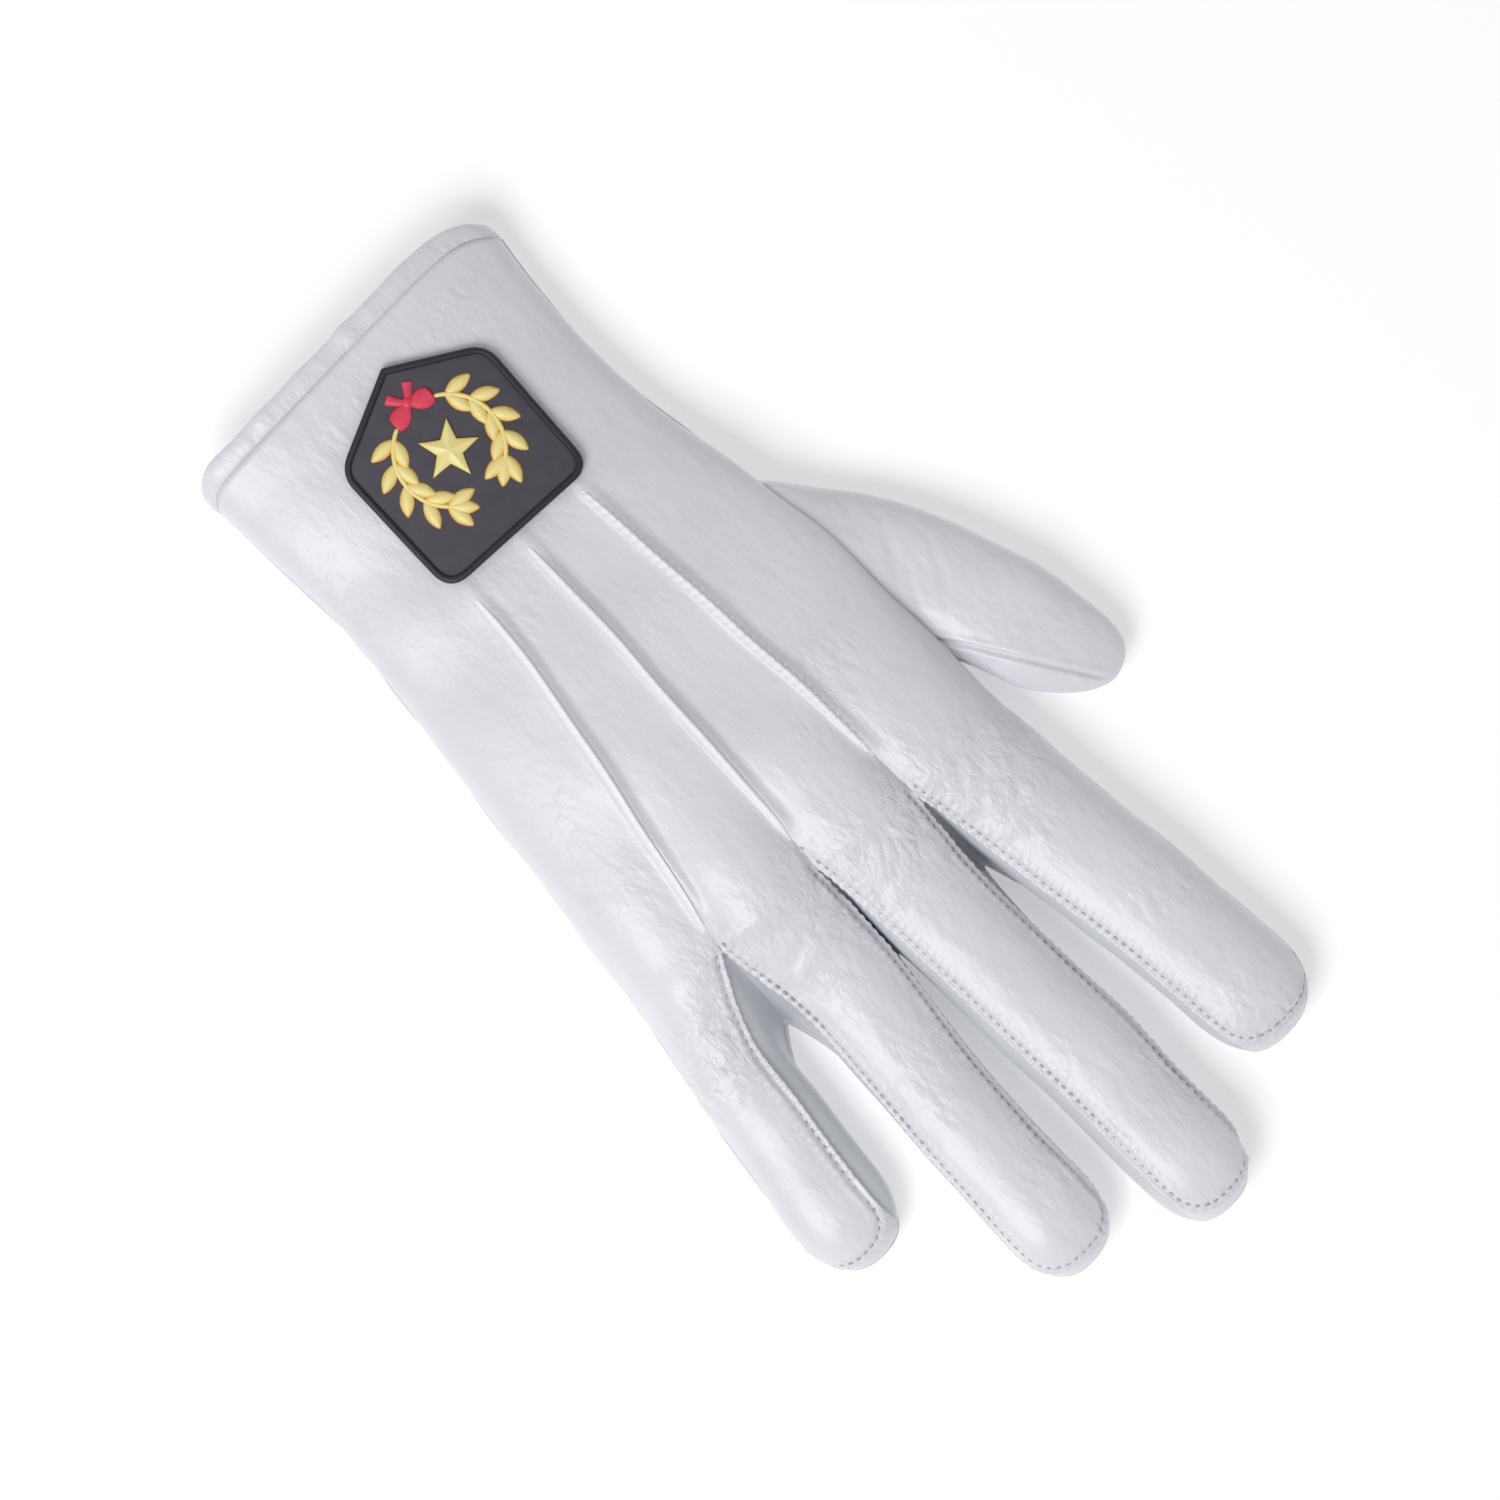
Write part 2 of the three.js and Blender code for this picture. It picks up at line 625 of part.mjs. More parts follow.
// Gusset between two fingers: down the right side of one, across the web, up the next
function gussetSurface(index) {
  const rows = [];
  const columns = 5;
  const addRow = (finger, right, along, closed) => {
    const fade = fadeFrom(along);
    const top = onGusset(finger, right, along, 0);
    const depth = top.distanceTo(onGusset(finger, right, along, 1));
    const start = closed ? 0.5 : (SEAM_MARGIN + WEB_TOP_MARGIN * fade) / depth;
    const end = closed ? 0.5 : 1 - (UNDER_SEAM_MARGIN + WEB_UNDER_MARGIN * fade) / depth;
    const row = [];
    for (let column = 0; column <= columns; column += 1) {
      row.push(onGusset(finger, right, along, lerp(start, end, column / columns)));
    }
    rows.push(row);
  };
  const sideRows = (finger) => fingerRows(finger, false, 9, 5).slice(0, -2);
  const closingRow = (finger) => {
    const [straight] = fingerRows(finger, false, 1, 1);
    return lerp(straight, 1, GUSSET_END);
  };
  addRow(index, true, closingRow(index), true);
  sideRows(index).reverse().forEach((along) => addRow(index, true, along, false));
  addRow(index, true, 0, false);
  sideRows(index + 1).forEach((along) => addRow(index + 1, false, along, false));
  addRow(index + 1, false, closingRow(index + 1), true);
  return welded([gridGeometry(rows, true)]);
}

// Part of the body's length round the thumb's root
const CORE_START = 0.187;
const CORE_END = 0.569;

// Ring of the thumb at a share of its length
function thumbRing(at, inset, count) {
  const across = columnAt(THUMB, "across", at) * KNUCKLE_WIDTH;
  const along = columnAt(THUMB, "along", at) * BODY_LENGTH;
  const lean = toRadians(columnAt(THUMB, "lean", at));
  const tipShare = clamp((at - THUMB_TIP_SHARE) / (1 - THUMB_TIP_SHARE), 0, 1);
  const shrink = arch(tipShare, TIP_FULLNESS);
  const tall = columnAt(THUMB, "tall", at) * THUMB_HEIGHT;
  const half = columnAt(THUMB, "half", at) * THUMB_WIDTH * shrink - inset;
  const rise = (tall / 2) * shrink - inset;
  const ring = [];
  for (let step = 0; step <= count; step += 1) {
    const angle = ((step % count) / count) * Math.PI * 2;
    const side = half * bent(Math.cos(angle), FINGER_TOP_FULLNESS);
    const up = rise * bent(Math.sin(angle), FINGER_TOP_FULLNESS);
    const x = across + side * Math.cos(lean);
    const y = along + side * Math.sin(lean);
    ring.push(new THREE.Vector3(x, y, THUMB_LIFT + tall / 2 + up));
  }
  return ring;
}

function thumbRows(evenSteps, tipSteps) {
  const rows = [];
  for (let step = 0; step <= evenSteps; step += 1) {
    rows.push((THUMB_TIP_SHARE * step) / evenSteps);
  }
  for (let step = 1; step <= tipSteps; step += 1) {
    rows.push(lerp(THUMB_TIP_SHARE, 1, Math.sin((step / tipSteps) * (Math.PI / 2))));
  }
  return rows;
}

// Closed body of the hand, used to trim the thumb's root; the slack keeps the seam's gap
function handCore(slack) {
  const rings = [];
  const count = 18;
  const steps = 17;
  for (let row = 0; row <= steps; row += 1) {
    const y = BODY_LENGTH * lerp(CORE_START, CORE_END, row / steps);
    const left = handAcross("left", y);
    const right = handAcross("right", y);
    const ring = [];
    for (let step = 0; step <= count; step += 1) {
      const x = lerp(left, right, (1 - Math.cos((step / count) * Math.PI)) / 2);
      ring.push(onBack(x, y));
    }
    for (let step = count; step >= 0; step -= 1) {
      const x = lerp(left, right, (1 - Math.cos((step / count) * Math.PI)) / 2);
      const point = onPalm(x, y);
      point.z -= GAP;
      ring.push(point);
    }
    ring.push(ring[0].clone());
    rings.push(ring);
  }
  const core = closedRings(rings, false);
  const points = core.attributes.position;
  const normals = core.attributes.normal;
  for (let i = 0; i < points.count; i += 1) {
    points.setX(i, points.getX(i) + normals.getX(i) * slack);
    points.setZ(i, points.getZ(i) + normals.getZ(i) * slack);
  }
  return core;
}

// Hem: a band with a rounded section carried round the mouth of the cuff
function hemGeometry() {
  const loop = [];
  const count = 20;
  const left = handAcross("left", 0);
  const right = handAcross("right", 0);
  for (let step = 0; step < count; step += 1) {
    const x = lerp(left, right, (1 - Math.cos((step / count) * Math.PI)) / 2);
    loop.push(onBack(x, 0));
  }
  for (let step = count; step > 0; step -= 1) {
    const x = lerp(left, right, (1 - Math.cos((step / count) * Math.PI)) / 2);
    loop.push(onPalm(x, 0));
  }
  const section = [
    { back: HEM_GAP, out: 0 },
    { back: HEM_DEPTH * 0.25, out: HEM_PUFF },
    { back: HEM_DEPTH * 0.75, out: HEM_PUFF },
    { back: HEM_DEPTH, out: -HEM_THICKNESS * 0.35 },
    { back: HEM_DEPTH * 0.75, out: HEM_PUFF - HEM_THICKNESS },
    { back: HEM_GAP, out: -LEATHER },
  ];
  const rows = [];
  for (let step = 0; step <= loop.length; step += 1) {
    const here = loop[step % loop.length];
    const before = loop[(step + loop.length - 1) % loop.length];
    const after = loop[(step + 1) % loop.length];
    const tangent = new THREE.Vector3().subVectors(after, before);
    const out = new THREE.Vector3(-tangent.z, 0, tangent.x).normalize();
    const row = section.map((corner) => {
      const point = here.clone().addScaledVector(out, corner.out);
      point.y -= corner.back;
      point.z = Math.max(point.z, -GAP / 2);
      return point;
    });
    row.push(row[0].clone());
    rows.push(row);
  }
  return welded([gridGeometry(rows, false)]);
}

// Raised tuck along a dividing line: a low half round that tapers at both ends
function pointGeometry(line) {
  const rings = [];
  const steps = 16;
  const sides = 5;
  for (let step = 0; step <= steps; step += 1) {
    const share = step / steps;
    const y = lerp(POINT_START, POINT_END, share);
    const taper = 0.25 + 0.75 * arch(2 * share - 1, 6);
    const along = y / LINES[line].top;
    const base = onBody(line, along, 0, false);
    const leftColumn = onBody(line - 1, along, 1 - 1 / BACK_COLUMNS, false);
    const rightColumn = onBody(line, along, 1 / BACK_COLUMNS, false);
    const ring = [];
    for (let side = 0; side <= sides; side += 1) {
      const angle = Math.PI * (side / sides);
      const across = (-Math.cos(angle) * POINT_WIDTH * taper) / 2;
      const column = across < 0 ? leftColumn : rightColumn;
      const level = lerp(base.z, column.z, across / (column.x - base.x));
      const up = POINT_SEAT + Math.sin(angle) * POINT_RISE * taper;
      ring.push(new THREE.Vector3(base.x + across, base.y, level + up));
    }
    ring.push(ring[0].clone());
    rings.push(ring);
  }
  return closedRings(rings, false);
}

// Place on the badge's own flat face laid over the back of the hand
function onBadge(across, along, level) {
  const cos = Math.cos(BADGE_TURN);
  const sin = Math.sin(BADGE_TURN);
  const x = BADGE_MIDDLE.x + across * cos - along * sin;
  const y = BADGE_MIDDLE.y + across * sin + along * cos;
  return new THREE.Vector3(x, y, backHeight(x, y) + 2 * GAP + level);
}

// Rounded outline of the badge, moved in by an inset, as points in the badge's own plane
function badgeOutline(inset) {
  const place = (row) => new THREE.Vector2(row.across * BADGE_WIDTH, row.along * BADGE_LENGTH);
  const corners = BADGE_CORNERS.map(place);
  const count = corners.length;
  const moved = corners.map((corner, k) => {
    const before = corners[(k + count - 1) % count].clone().sub(corner).normalize();
    const after = corners[(k + 1) % count].clone().sub(corner).normalize();
    const middle = before.clone().add(after).normalize();
    const sine = Math.abs(middle.cross(after));
    return corner.clone().addScaledVector(middle, inset / sine);
  });
  const outline = [];
  moved.forEach((corner, k) => {
    const radius = Math.max(BADGE_CORNERS[k].radius - inset, 0.3);
    const before = moved[(k + count - 1) % count].clone().sub(corner).normalize();
    const after = moved[(k + 1) % count].clone().sub(corner).normalize();
    const start = corner.clone().addScaledVector(before, radius);
    const end = corner.clone().addScaledVector(after, radius);
    const curve = new THREE.QuadraticBezierCurve(start, corner, end);
    outline.push(...curve.getPoints(3));
    const next = moved[(k + 1) % count];
    const nextRadius = Math.max(BADGE_CORNERS[(k + 1) % count].radius - inset, 0.3);
    const nextStart = next.clone().addScaledVector(after, -nextRadius);
    [0.25, 0.5, 0.75].forEach((part) => outline.push(end.clone().lerp(nextStart, part)));
  });
  outline.push(outline[0].clone());
  return outline;
}

// Plate of the badge: rings of points from its middle to its outline, above and below
function badgeBase() {
  const outline = badgeOutline(0);
  const shares = [0, 0.35, 0.7, 1];
  const face = (level) =>
    shares.map((share) => outline.map((p) => onBadge(p.x * share, p.y * share, level)));
  return welded([gridGeometry([...face(BADGE_THICKNESS), ...face(0).reverse()], true)]);
}

// Raised rim that runs round the badge's edge
function badgeRim() {
  const floor = BADGE_THICKNESS + GAP;
  const section = [
    { inset: 0, level: floor },
    { inset: 0.1, level: floor + RIM_RISE * 0.8 },
    { inset: RIM_WIDTH / 2, level: floor + RIM_RISE },
    { inset: RIM_WIDTH - 0.1, level: floor + RIM_RISE * 0.8 },
    { inset: RIM_WIDTH, level: floor },
    { inset: 0, level: floor },
  ];
  const rows = section.map((part) => badgeOutline(part.inset).map((p) => onBadge(p.x, p.y, part.level)));
  return welded([gridGeometry(rows, false)]);
}

// Flat shape given a thickness and laid on the badge
function badgeRelief(shape) {
  const flat = { depth: MOTIF_RISE, bevelEnabled: false };
  return welded([laidOnBadge(new THREE.ExtrudeGeometry(shape, flat))]);
}

function laidOnBadge(geometry) {
  const plain = positionsOnly(geometry);
  const points = plain.attributes.position;
  const floor = BADGE_THICKNESS + GAP;
  for (let i = 0; i < points.count; i += 1) {
    const point = onBadge(points.getX(i), points.getY(i), floor + points.getZ(i));
    points.setXYZ(i, point.x, point.y, point.z);
  }
  return plain;
}

// Outline of one pointed leaf with its stalk end at a place, pointing along an angle
function leafShape(x, y, angle) {
  const along = new THREE.Vector2(Math.cos(angle), Math.sin(angle));
  const side = new THREE.Vector2(-along.y, along.x);
  const at = (length, width) =>
    new THREE.Vector2(x, y).addScaledVector(along, length).addScaledVector(side, width);
  const points = [
    at(-0.4, 0),
    at(LEAF_LENGTH * 0.3, -LEAF_WIDTH * 0.45),
    at(LEAF_LENGTH * 0.6, -LEAF_WIDTH * 0.42),
    at(LEAF_LENGTH, 0),
    at(LEAF_LENGTH * 0.6, LEAF_WIDTH * 0.42),
    at(LEAF_LENGTH * 0.3, LEAF_WIDTH * 0.45),
  ];
  return new THREE.Shape(points);
}

// Branch of the wreath: a curved stem with leaves leaning off it, joined into one body
function wreathBranch(side) {
  const flat = { depth: MOTIF_RISE, bevelEnabled: false };
  const from = toRadians(-62);
  const to = toRadians(62);
  const place = (share, radius) => {
    const angle = lerp(from, to, share);
    return new THREE.Vector2(side * radius * Math.cos(angle), radius * Math.sin(angle));
  };
  const stem = [];
  for (let step = 0; step <= 10; step += 1) {
    stem.push(place(step / 10, WREATH_RADIUS + STEM_WIDTH / 2));
  }
  for (let step = 10; step >= 0; step -= 1) {
    stem.push(place(step / 10, WREATH_RADIUS - STEM_WIDTH / 2));
  }
  const pieces = [new THREE.ExtrudeGeometry(new THREE.Shape(stem), flat)];
  for (let leaf = 0; leaf < LEAF_PAIRS; leaf += 1) {
    const share = (leaf + 0.4) / LEAF_PAIRS;
    const root = place(share, WREATH_RADIUS);
    const angle = lerp(from, to, share) + Math.PI / 2;
    [-0.62, 0.62].forEach((lean) => {
      const heading = side > 0 ? angle + lean : Math.PI - angle - lean;
      pieces.push(new THREE.ExtrudeGeometry(leafShape(root.x, root.y, heading), flat));
    });
  }
  const solids = pieces.map((piece) => toSolid(piece));
  const joined = fromSolid(solids.reduce((whole, solid) => whole.add(solid)));
  return welded([laidOnBadge(joined.toNonIndexed())]);
}

// Five-pointed star in the middle of the wreath
function starShape() {
  const corners = [];
  for (let corner = 0; corner < 10; corner += 1) {
    const radius = STAR_RADIUS * (corner % 2 === 0 ? 1 : STAR_WAIST);
    const angle = (corner / 10) * Math.PI * 2 + Math.PI / 2;
    corners.push(new THREE.Vector2(radius * Math.cos(angle), radius * Math.sin(angle)));
  }
  return new THREE.Shape(corners);
}

// Ribbon tied in a bow below the wreath
function tieShape() {
  const outline = [
    { across: 0.1, along: 0.16 },
    { across: 0.46, along: 0.5 },
    { across: 0.5, along: 0.1 },
    { across: 0.16, along: -0.08 },
    { across: 0.3, along: -0.5 },
    { across: 0, along: -0.2 },
    { across: -0.3, along: -0.5 },
    { across: -0.16, along: -0.08 },
    { across: -0.5, along: 0.1 },
    { across: -0.46, along: 0.5 },
    { across: -0.1, along: 0.16 },
  ];
  const place = (p) => new THREE.Vector2(p.across * TIE_WIDTH, TIE_PLACE + p.along * TIE_LENGTH);
  return new THREE.Shape(outline.map(place));
}

const glove = new THREE.Group();
glove.name = "parade_glove";

function addPiece(name, geometry, look) {
  const shown = geometry.toNonIndexed();
  shown.computeVertexNormals();
  const mesh = new THREE.Mesh(shown, new THREE.MeshStandardMaterial(look));
  mesh.name = name;
  glove.add(mesh);
}

// Panels of the hand
const backSurface = panelSurface(false, 16, BACK_COLUMNS);
const palmSurface = panelSurface(true, 14, PALM_COLUMNS);
const backGrown = toSolid(sheet(backSurface, GAP, LEATHER + GAP));
const palmGrown = toSolid(sheet(palmSurface, GAP, LEATHER + GAP));
addPiece("back", sheet(backSurface, 0, LEATHER), WHITE_LEATHER);

// Thumb, trimmed where it meets the hand; its bore goes on through the palm panel
const thumbAlong = thumbRows(9, 5);
const thumbCount = 18;
const thumbGrid = thumbAlong.map((at) => thumbRing(at, 0, thumbCount));
const thumbSheet = toSolid(sheet(welded([gridGeometry(thumbGrid, true)]), 0, LEATHER));
const boreRings = thumbAlong.slice(0, -1).map((at) => thumbRing(at, LEATHER, thumbCount));
const bore = toSolid(closedRings(boreRings, true));
addPiece("palm", fromSolid(toSolid(sheet(palmSurface, 0, LEATHER)).subtract(bore)), WHITE_LEATHER);
addPiece("thumb", fromSolid(thumbSheet.subtract(toSolid(handCore(GAP)))), WHITE_LEATHER);

// Gussets between the fingers
["gusset_index_middle", "gusset_middle_ring", "gusset_ring_little"].forEach((name, index) => {
  const gusset = toSolid(sheet(gussetSurface(index), 0, LEATHER));
  addPiece(name, fromSolid(gusset.subtract(backGrown).subtract(palmGrown)), WHITE_LEATHER);
});

// Hem and tucks
addPiece("cuff_hem", hemGeometry(), WHITE_LEATHER);
["point_index", "point_middle", "point_little"].forEach((name, index) => {
  addPiece(name, pointGeometry(index + 1), WHITE_LEATHER);
});

// Badge with a wreath, a star and a ribbon
addPiece("badge_base", badgeBase(), BADGE_CHARCOAL);
addPiece("badge_rim", badgeRim(), RIM_BLACK);
addPiece("wreath_left", wreathBranch(-1), MOTIF_GOLD);
addPiece("wreath_right", wreathBranch(1), MOTIF_GOLD);
addPiece("star", badgeRelief(starShape()), MOTIF_GOLD);
addPiece("ribbon_tie", badgeRelief(tieShape()), MOTIF_RED);

// Origin at the middle of the footprint, on the surface that the glove rests on
const box = new THREE.Box3().setFromObject(glove);
glove.position.set(-(box.min.x + box.max.x) / 2, -(box.min.y + box.max.y) / 2, -box.min.z);
glove.updateMatrixWorld(true);

export default glove;
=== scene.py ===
"""White leather parade glove for the right hand, lying palm down.

Every panel is a curved surface worked out from the glove's own sizes: +X runs from the thumb
side to the little finger, +Y from the cuff to the fingertips and +Z up. Lengths are metres.
"""

import math

import bmesh
import bpy
import numpy as np
from bpy.props import FloatProperty, FloatVectorProperty, PointerProperty
from bpy.types import Operator, Panel, PropertyGroup
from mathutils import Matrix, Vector


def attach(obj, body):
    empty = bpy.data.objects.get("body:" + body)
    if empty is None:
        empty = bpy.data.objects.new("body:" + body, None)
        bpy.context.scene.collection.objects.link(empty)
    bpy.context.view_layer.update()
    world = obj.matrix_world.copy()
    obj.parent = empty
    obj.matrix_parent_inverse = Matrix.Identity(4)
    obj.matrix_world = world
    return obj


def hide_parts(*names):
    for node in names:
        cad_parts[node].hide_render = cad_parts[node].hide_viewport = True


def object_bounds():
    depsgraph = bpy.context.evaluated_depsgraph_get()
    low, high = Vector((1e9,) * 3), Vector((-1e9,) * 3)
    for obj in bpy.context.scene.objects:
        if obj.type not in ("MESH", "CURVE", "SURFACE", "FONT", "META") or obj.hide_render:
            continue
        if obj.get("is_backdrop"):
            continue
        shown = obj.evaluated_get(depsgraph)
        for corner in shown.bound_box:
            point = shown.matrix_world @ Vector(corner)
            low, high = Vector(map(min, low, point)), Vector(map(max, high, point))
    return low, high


bl_info = {
    "name": "White parade glove",
    "version": (1, 0, 0),
    "blender": (4, 5, 0),
    "location": "3D View > Sidebar > Glove",
    "description": "Builds a white leather parade glove with a badge around its packed solids",
    "category": "Object",
}

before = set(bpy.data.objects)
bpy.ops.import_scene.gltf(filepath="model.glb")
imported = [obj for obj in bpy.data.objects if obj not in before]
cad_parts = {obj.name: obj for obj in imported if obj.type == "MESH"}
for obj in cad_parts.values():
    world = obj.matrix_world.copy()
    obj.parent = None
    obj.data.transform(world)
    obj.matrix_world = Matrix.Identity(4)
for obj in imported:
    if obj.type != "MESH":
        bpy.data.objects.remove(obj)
CAD_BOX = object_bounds()

MM = 0.001

# The hem line at the middle of the cuff, from which the glove's tables are measured
HEM_MIDDLE = np.array([2.339, -131.1, 0.15]) * MM

# Stage: what the camera looks at, its sensor in millimetres, and the floor
VIEW_TARGET = HEM_MIDDLE + np.array([0.3, 122.7, 9.85]) * MM
SENSOR_WIDTH = 36
WHITE = (1, 1, 1, 1)
FLOOR_REACH = 6.0
FLOOR_CORNERS = ((-1, -1), (1, -1), (1, 1), (-1, 1))
FLOOR_FINISH = {
    "Base Color": (0.96, 0.96, 0.96, 1),
    "Roughness": 0.9,
    "Emission Color": WHITE,
    "Emission Strength": 0.25,
}

# Fullness of the sections: 2 is an ellipse, more is squarer
BACK_FULLNESS = 2.3
PALM_FULLNESS = 3.0
TOP_FULLNESS = 2.2
UNDER_FULLNESS = 2.8
TIP_FULLNESS = 2.4
THUMB_FULLNESS = 2.6
BORE_FULLNESS = 2.2
ROW_FULLNESS = 2.6
HEM_FULLNESS = 3.0

# Shares of the body length, the knuckle width or the hand's height
TIP_LENGTH = 0.06
HEM_REACH = 0.112
UNDER_CROTCH_HEIGHT = 0.025
PALM_FLAT = 0.05
KNUCKLE_START = 0.7
PALM_BLEND_START = 0.86
WEB_FADE = 0.35
GUSSET_END = 0.97
THUMB_TIP = 0.84
THUMB_CROTCH = 0.6
THUMB_HALF = 0.249
THUMB_TALL = 0.625
HAND_END = 0.58
POINT_START = 0.215
POINT_END = 0.535

# How far the panels and the gussets reach under each other round the finger, in degrees
SEAM_REACH = 8.0
GUSSET_REACH = 10.0

# Lengths of single details
THUMB_WEB = 3.2 * MM
THUMB_EDGE = 5 * MM
TIP_STITCH_INSET = 3.2 * MM
STITCH_LENGTH = 1.25 * MM
STITCH_THICKNESS = 0.75 * MM
HEM_DEPTH = 4.8 * MM
HEM_THICKNESS = 2.4 * MM
HEM_PUFF = 0.35 * MM
GUSSET_FLOOR = 1.2 * MM
GUSSET_INSET = 0.55 * MM
BADGE_LIFT = 0.6 * MM
PLATE_INSET = 0.3 * MM
RIM_WIDTH = 1.6 * MM
RIM_HEIGHT = 0.95 * MM
MOTIF_RISE = 1.0 * MM

# How far the cuff's ends are drawn back, and the power of the share across by which they are:
# on the thumb's side and on the little finger's
CUFF_DRAW = ((6.48 * MM, 8), (3.98 * MM, 20))

# The tucks by their dividing lines. The leather is drawn up to them over a wide flank on the
# thumb's side and a narrow one on the other.
TUCKS = {1: "index", 2: "middle", 3: "little"}
FLANK_START, FLANK_END = -3.1 * MM, -0.2 * MM
FLANK_RISE, FAR_RISE = 1.55 * MM, 1.8 * MM

# Steps of the panels along the body, along a finger and across a strip
BACK_STEPS = (96, 214, 34)
PALM_STEPS = (90, 110, 24)
# Steps along a gusset or the thumb, round its tip and across
GUSSET_STEPS = (100, 20, 22)
THUMB_STEPS = (190, 24, 181)
# Steps of a panel round a fingertip, and of the hem round the cuff
TIP_STEPS = 26
HEM_STEPS = 320

# Step across a strip by which its slope is measured, and how many points are compared at once
EDGE_STEP = 0.02
BATCH = 4000


def table(columns, *rows):
    """Rows of numbers as one array for each named column."""
    return dict(zip(columns, np.array(rows, float).T))


# Body of the hand from the hem line to the crotches
HAND = table(
    ("at", "left", "first", "second", "third", "right", "top", "left_seam", "right_seam"),
    (0, -0.402, -0.134, 0.01, 0.144, 0.417, 0.79, 0.33, 0.35),
    (0.082, -0.381, -0.139, 0.012, 0.151, 0.412, 0.77, 0.33, 0.35),
    (0.169, -0.37, -0.144, 0.013, 0.161, 0.414, 0.78, 0.34, 0.35),
    (0.243, -0.387, -0.148, 0.019, 0.176, 0.44, 0.84, 0.41, 0.36),
    (0.318, -0.415, -0.154, 0.029, 0.206, 0.469, 0.94, 0.54, 0.38),
    (0.393, -0.431, -0.162, 0.043, 0.245, 0.498, 1, 0.63, 0.39),
    (0.468, -0.433, -0.171, 0.057, 0.292, 0.527, 1, 0.6, 0.38),
    (0.565, -0.43, -0.168, 0.084, 0.347, 0.566, 0.9, 0.45, 0.36),
)

# The five lines that bound the four strips, with their crotches on the back and the palm
LINES = (
    {"column": "left", "top": 0.577, "under": 0.663, "across": 0},
    {"column": "first", "top": 0.577, "under": 0.663, "across": -0.163},
    {"column": "second", "top": 0.562, "under": 0.663, "across": 0.094},
    {"column": "third", "top": 0.554, "under": 0.637, "across": 0.359},
    {"column": "right", "top": 0.554, "under": 0.637, "across": 0},
)

# Fingers: how far and how tall each is, which sides have a row of stitches, the angles of its
# seams, and its sections from the root to the tip
ROW = ("at", "middle", "half", "tall")
FINGERS = (
    {
        "name": "index", "reach": 0.9356, "full": 0.729, "stitched": (False, True),
        "top_left": 180, "top_right": 44, "under_left": 180, "under_right": 316,
        "rows": table(
            ROW,
            (0, -0.299, 0.133, 1.14),
            (0.27, -0.312, 0.134, 1.06),
            (0.64, -0.345, 0.13, 1),
            (0.86, -0.354, 0.128, 0.96),
            (1, -0.352, 0.126, 0.92),
        ),
    },
    {
        "name": "middle", "reach": 1, "full": 0.771, "stitched": (True, True),
        "top_left": 153, "top_right": 50, "under_left": 214, "under_right": 315,
        "rows": table(
            ROW,
            (0, -0.041, 0.123, 1.13),
            (0.22, -0.028, 0.121, 1.06),
            (0.42, -0.028, 0.124, 1.02),
            (0.64, -0.027, 0.123, 1),
            (0.85, -0.02, 0.119, 0.95),
            (1, -0.01, 0.115, 0.9),
        ),
    },
    {
        "name": "ring", "reach": 0.9506, "full": 0.729, "stitched": (True, True),
        "top_left": 148, "top_right": 32, "under_left": 218, "under_right": 322,
        "rows": table(
            ROW,
            (0, 0.214, 0.128, 1.14),
            (0.25, 0.211, 0.12, 1.07),
            (0.49, 0.24, 0.114, 1.02),
            (0.68, 0.256, 0.1125, 1),
            (0.85, 0.266, 0.116, 0.97),
            (1, 0.272, 0.113, 0.92),
        ),
    },
    {
        "name": "little", "reach": 0.824, "full": 0.646, "stitched": (True, False),
        "top_left": 114, "top_right": 0, "under_left": 232, "under_right": 360,
        "rows": table(
            ROW,
            (0, 0.459, 0.111, 1.18),
            (0.29, 0.499, 0.107, 1.08),
            (0.51, 0.523, 0.112, 1),
            (0.78, 0.554, 0.114, 0.97),
            (1, 0.564, 0.11, 0.92),
        ),
    },
)

# The outer lines' finger, its side there in degrees, the hand's seam and the share across
OUTER = {0: (0, 180, "left_seam", -1.0), 4: (3, 0, "right_seam", 1.0)}
SEAM_SIDES = {"top_left": 180, "top_right": 0, "under_left": 180, "under_right": 360}

# Thumb along its axis: places as shares of the main sizes, the axis's lean in degrees
THUMB = table(
    ("at", "across", "along", "lean", "half", "tall"),
    (0, -0.23, 0.295, 42, 0.42, 0.74),
    (0.14, -0.322, 0.338, 40, 0.46, 0.8),
    (0.26, -0.384, 0.373, 37, 0.48, 0.84),
    (0.4, -0.452, 0.412, 32, 0.5, 0.9),
    (0.6, -0.517, 0.468, 26, 0.5, 0.97),
    (0.8, -0.568, 0.53, 24, 0.5, 1),
    (0.92, -0.603, 0.577, 24, 0.49, 0.96),
    (1, -0.665, 0.63, 24, 0.47, 0.9),
)

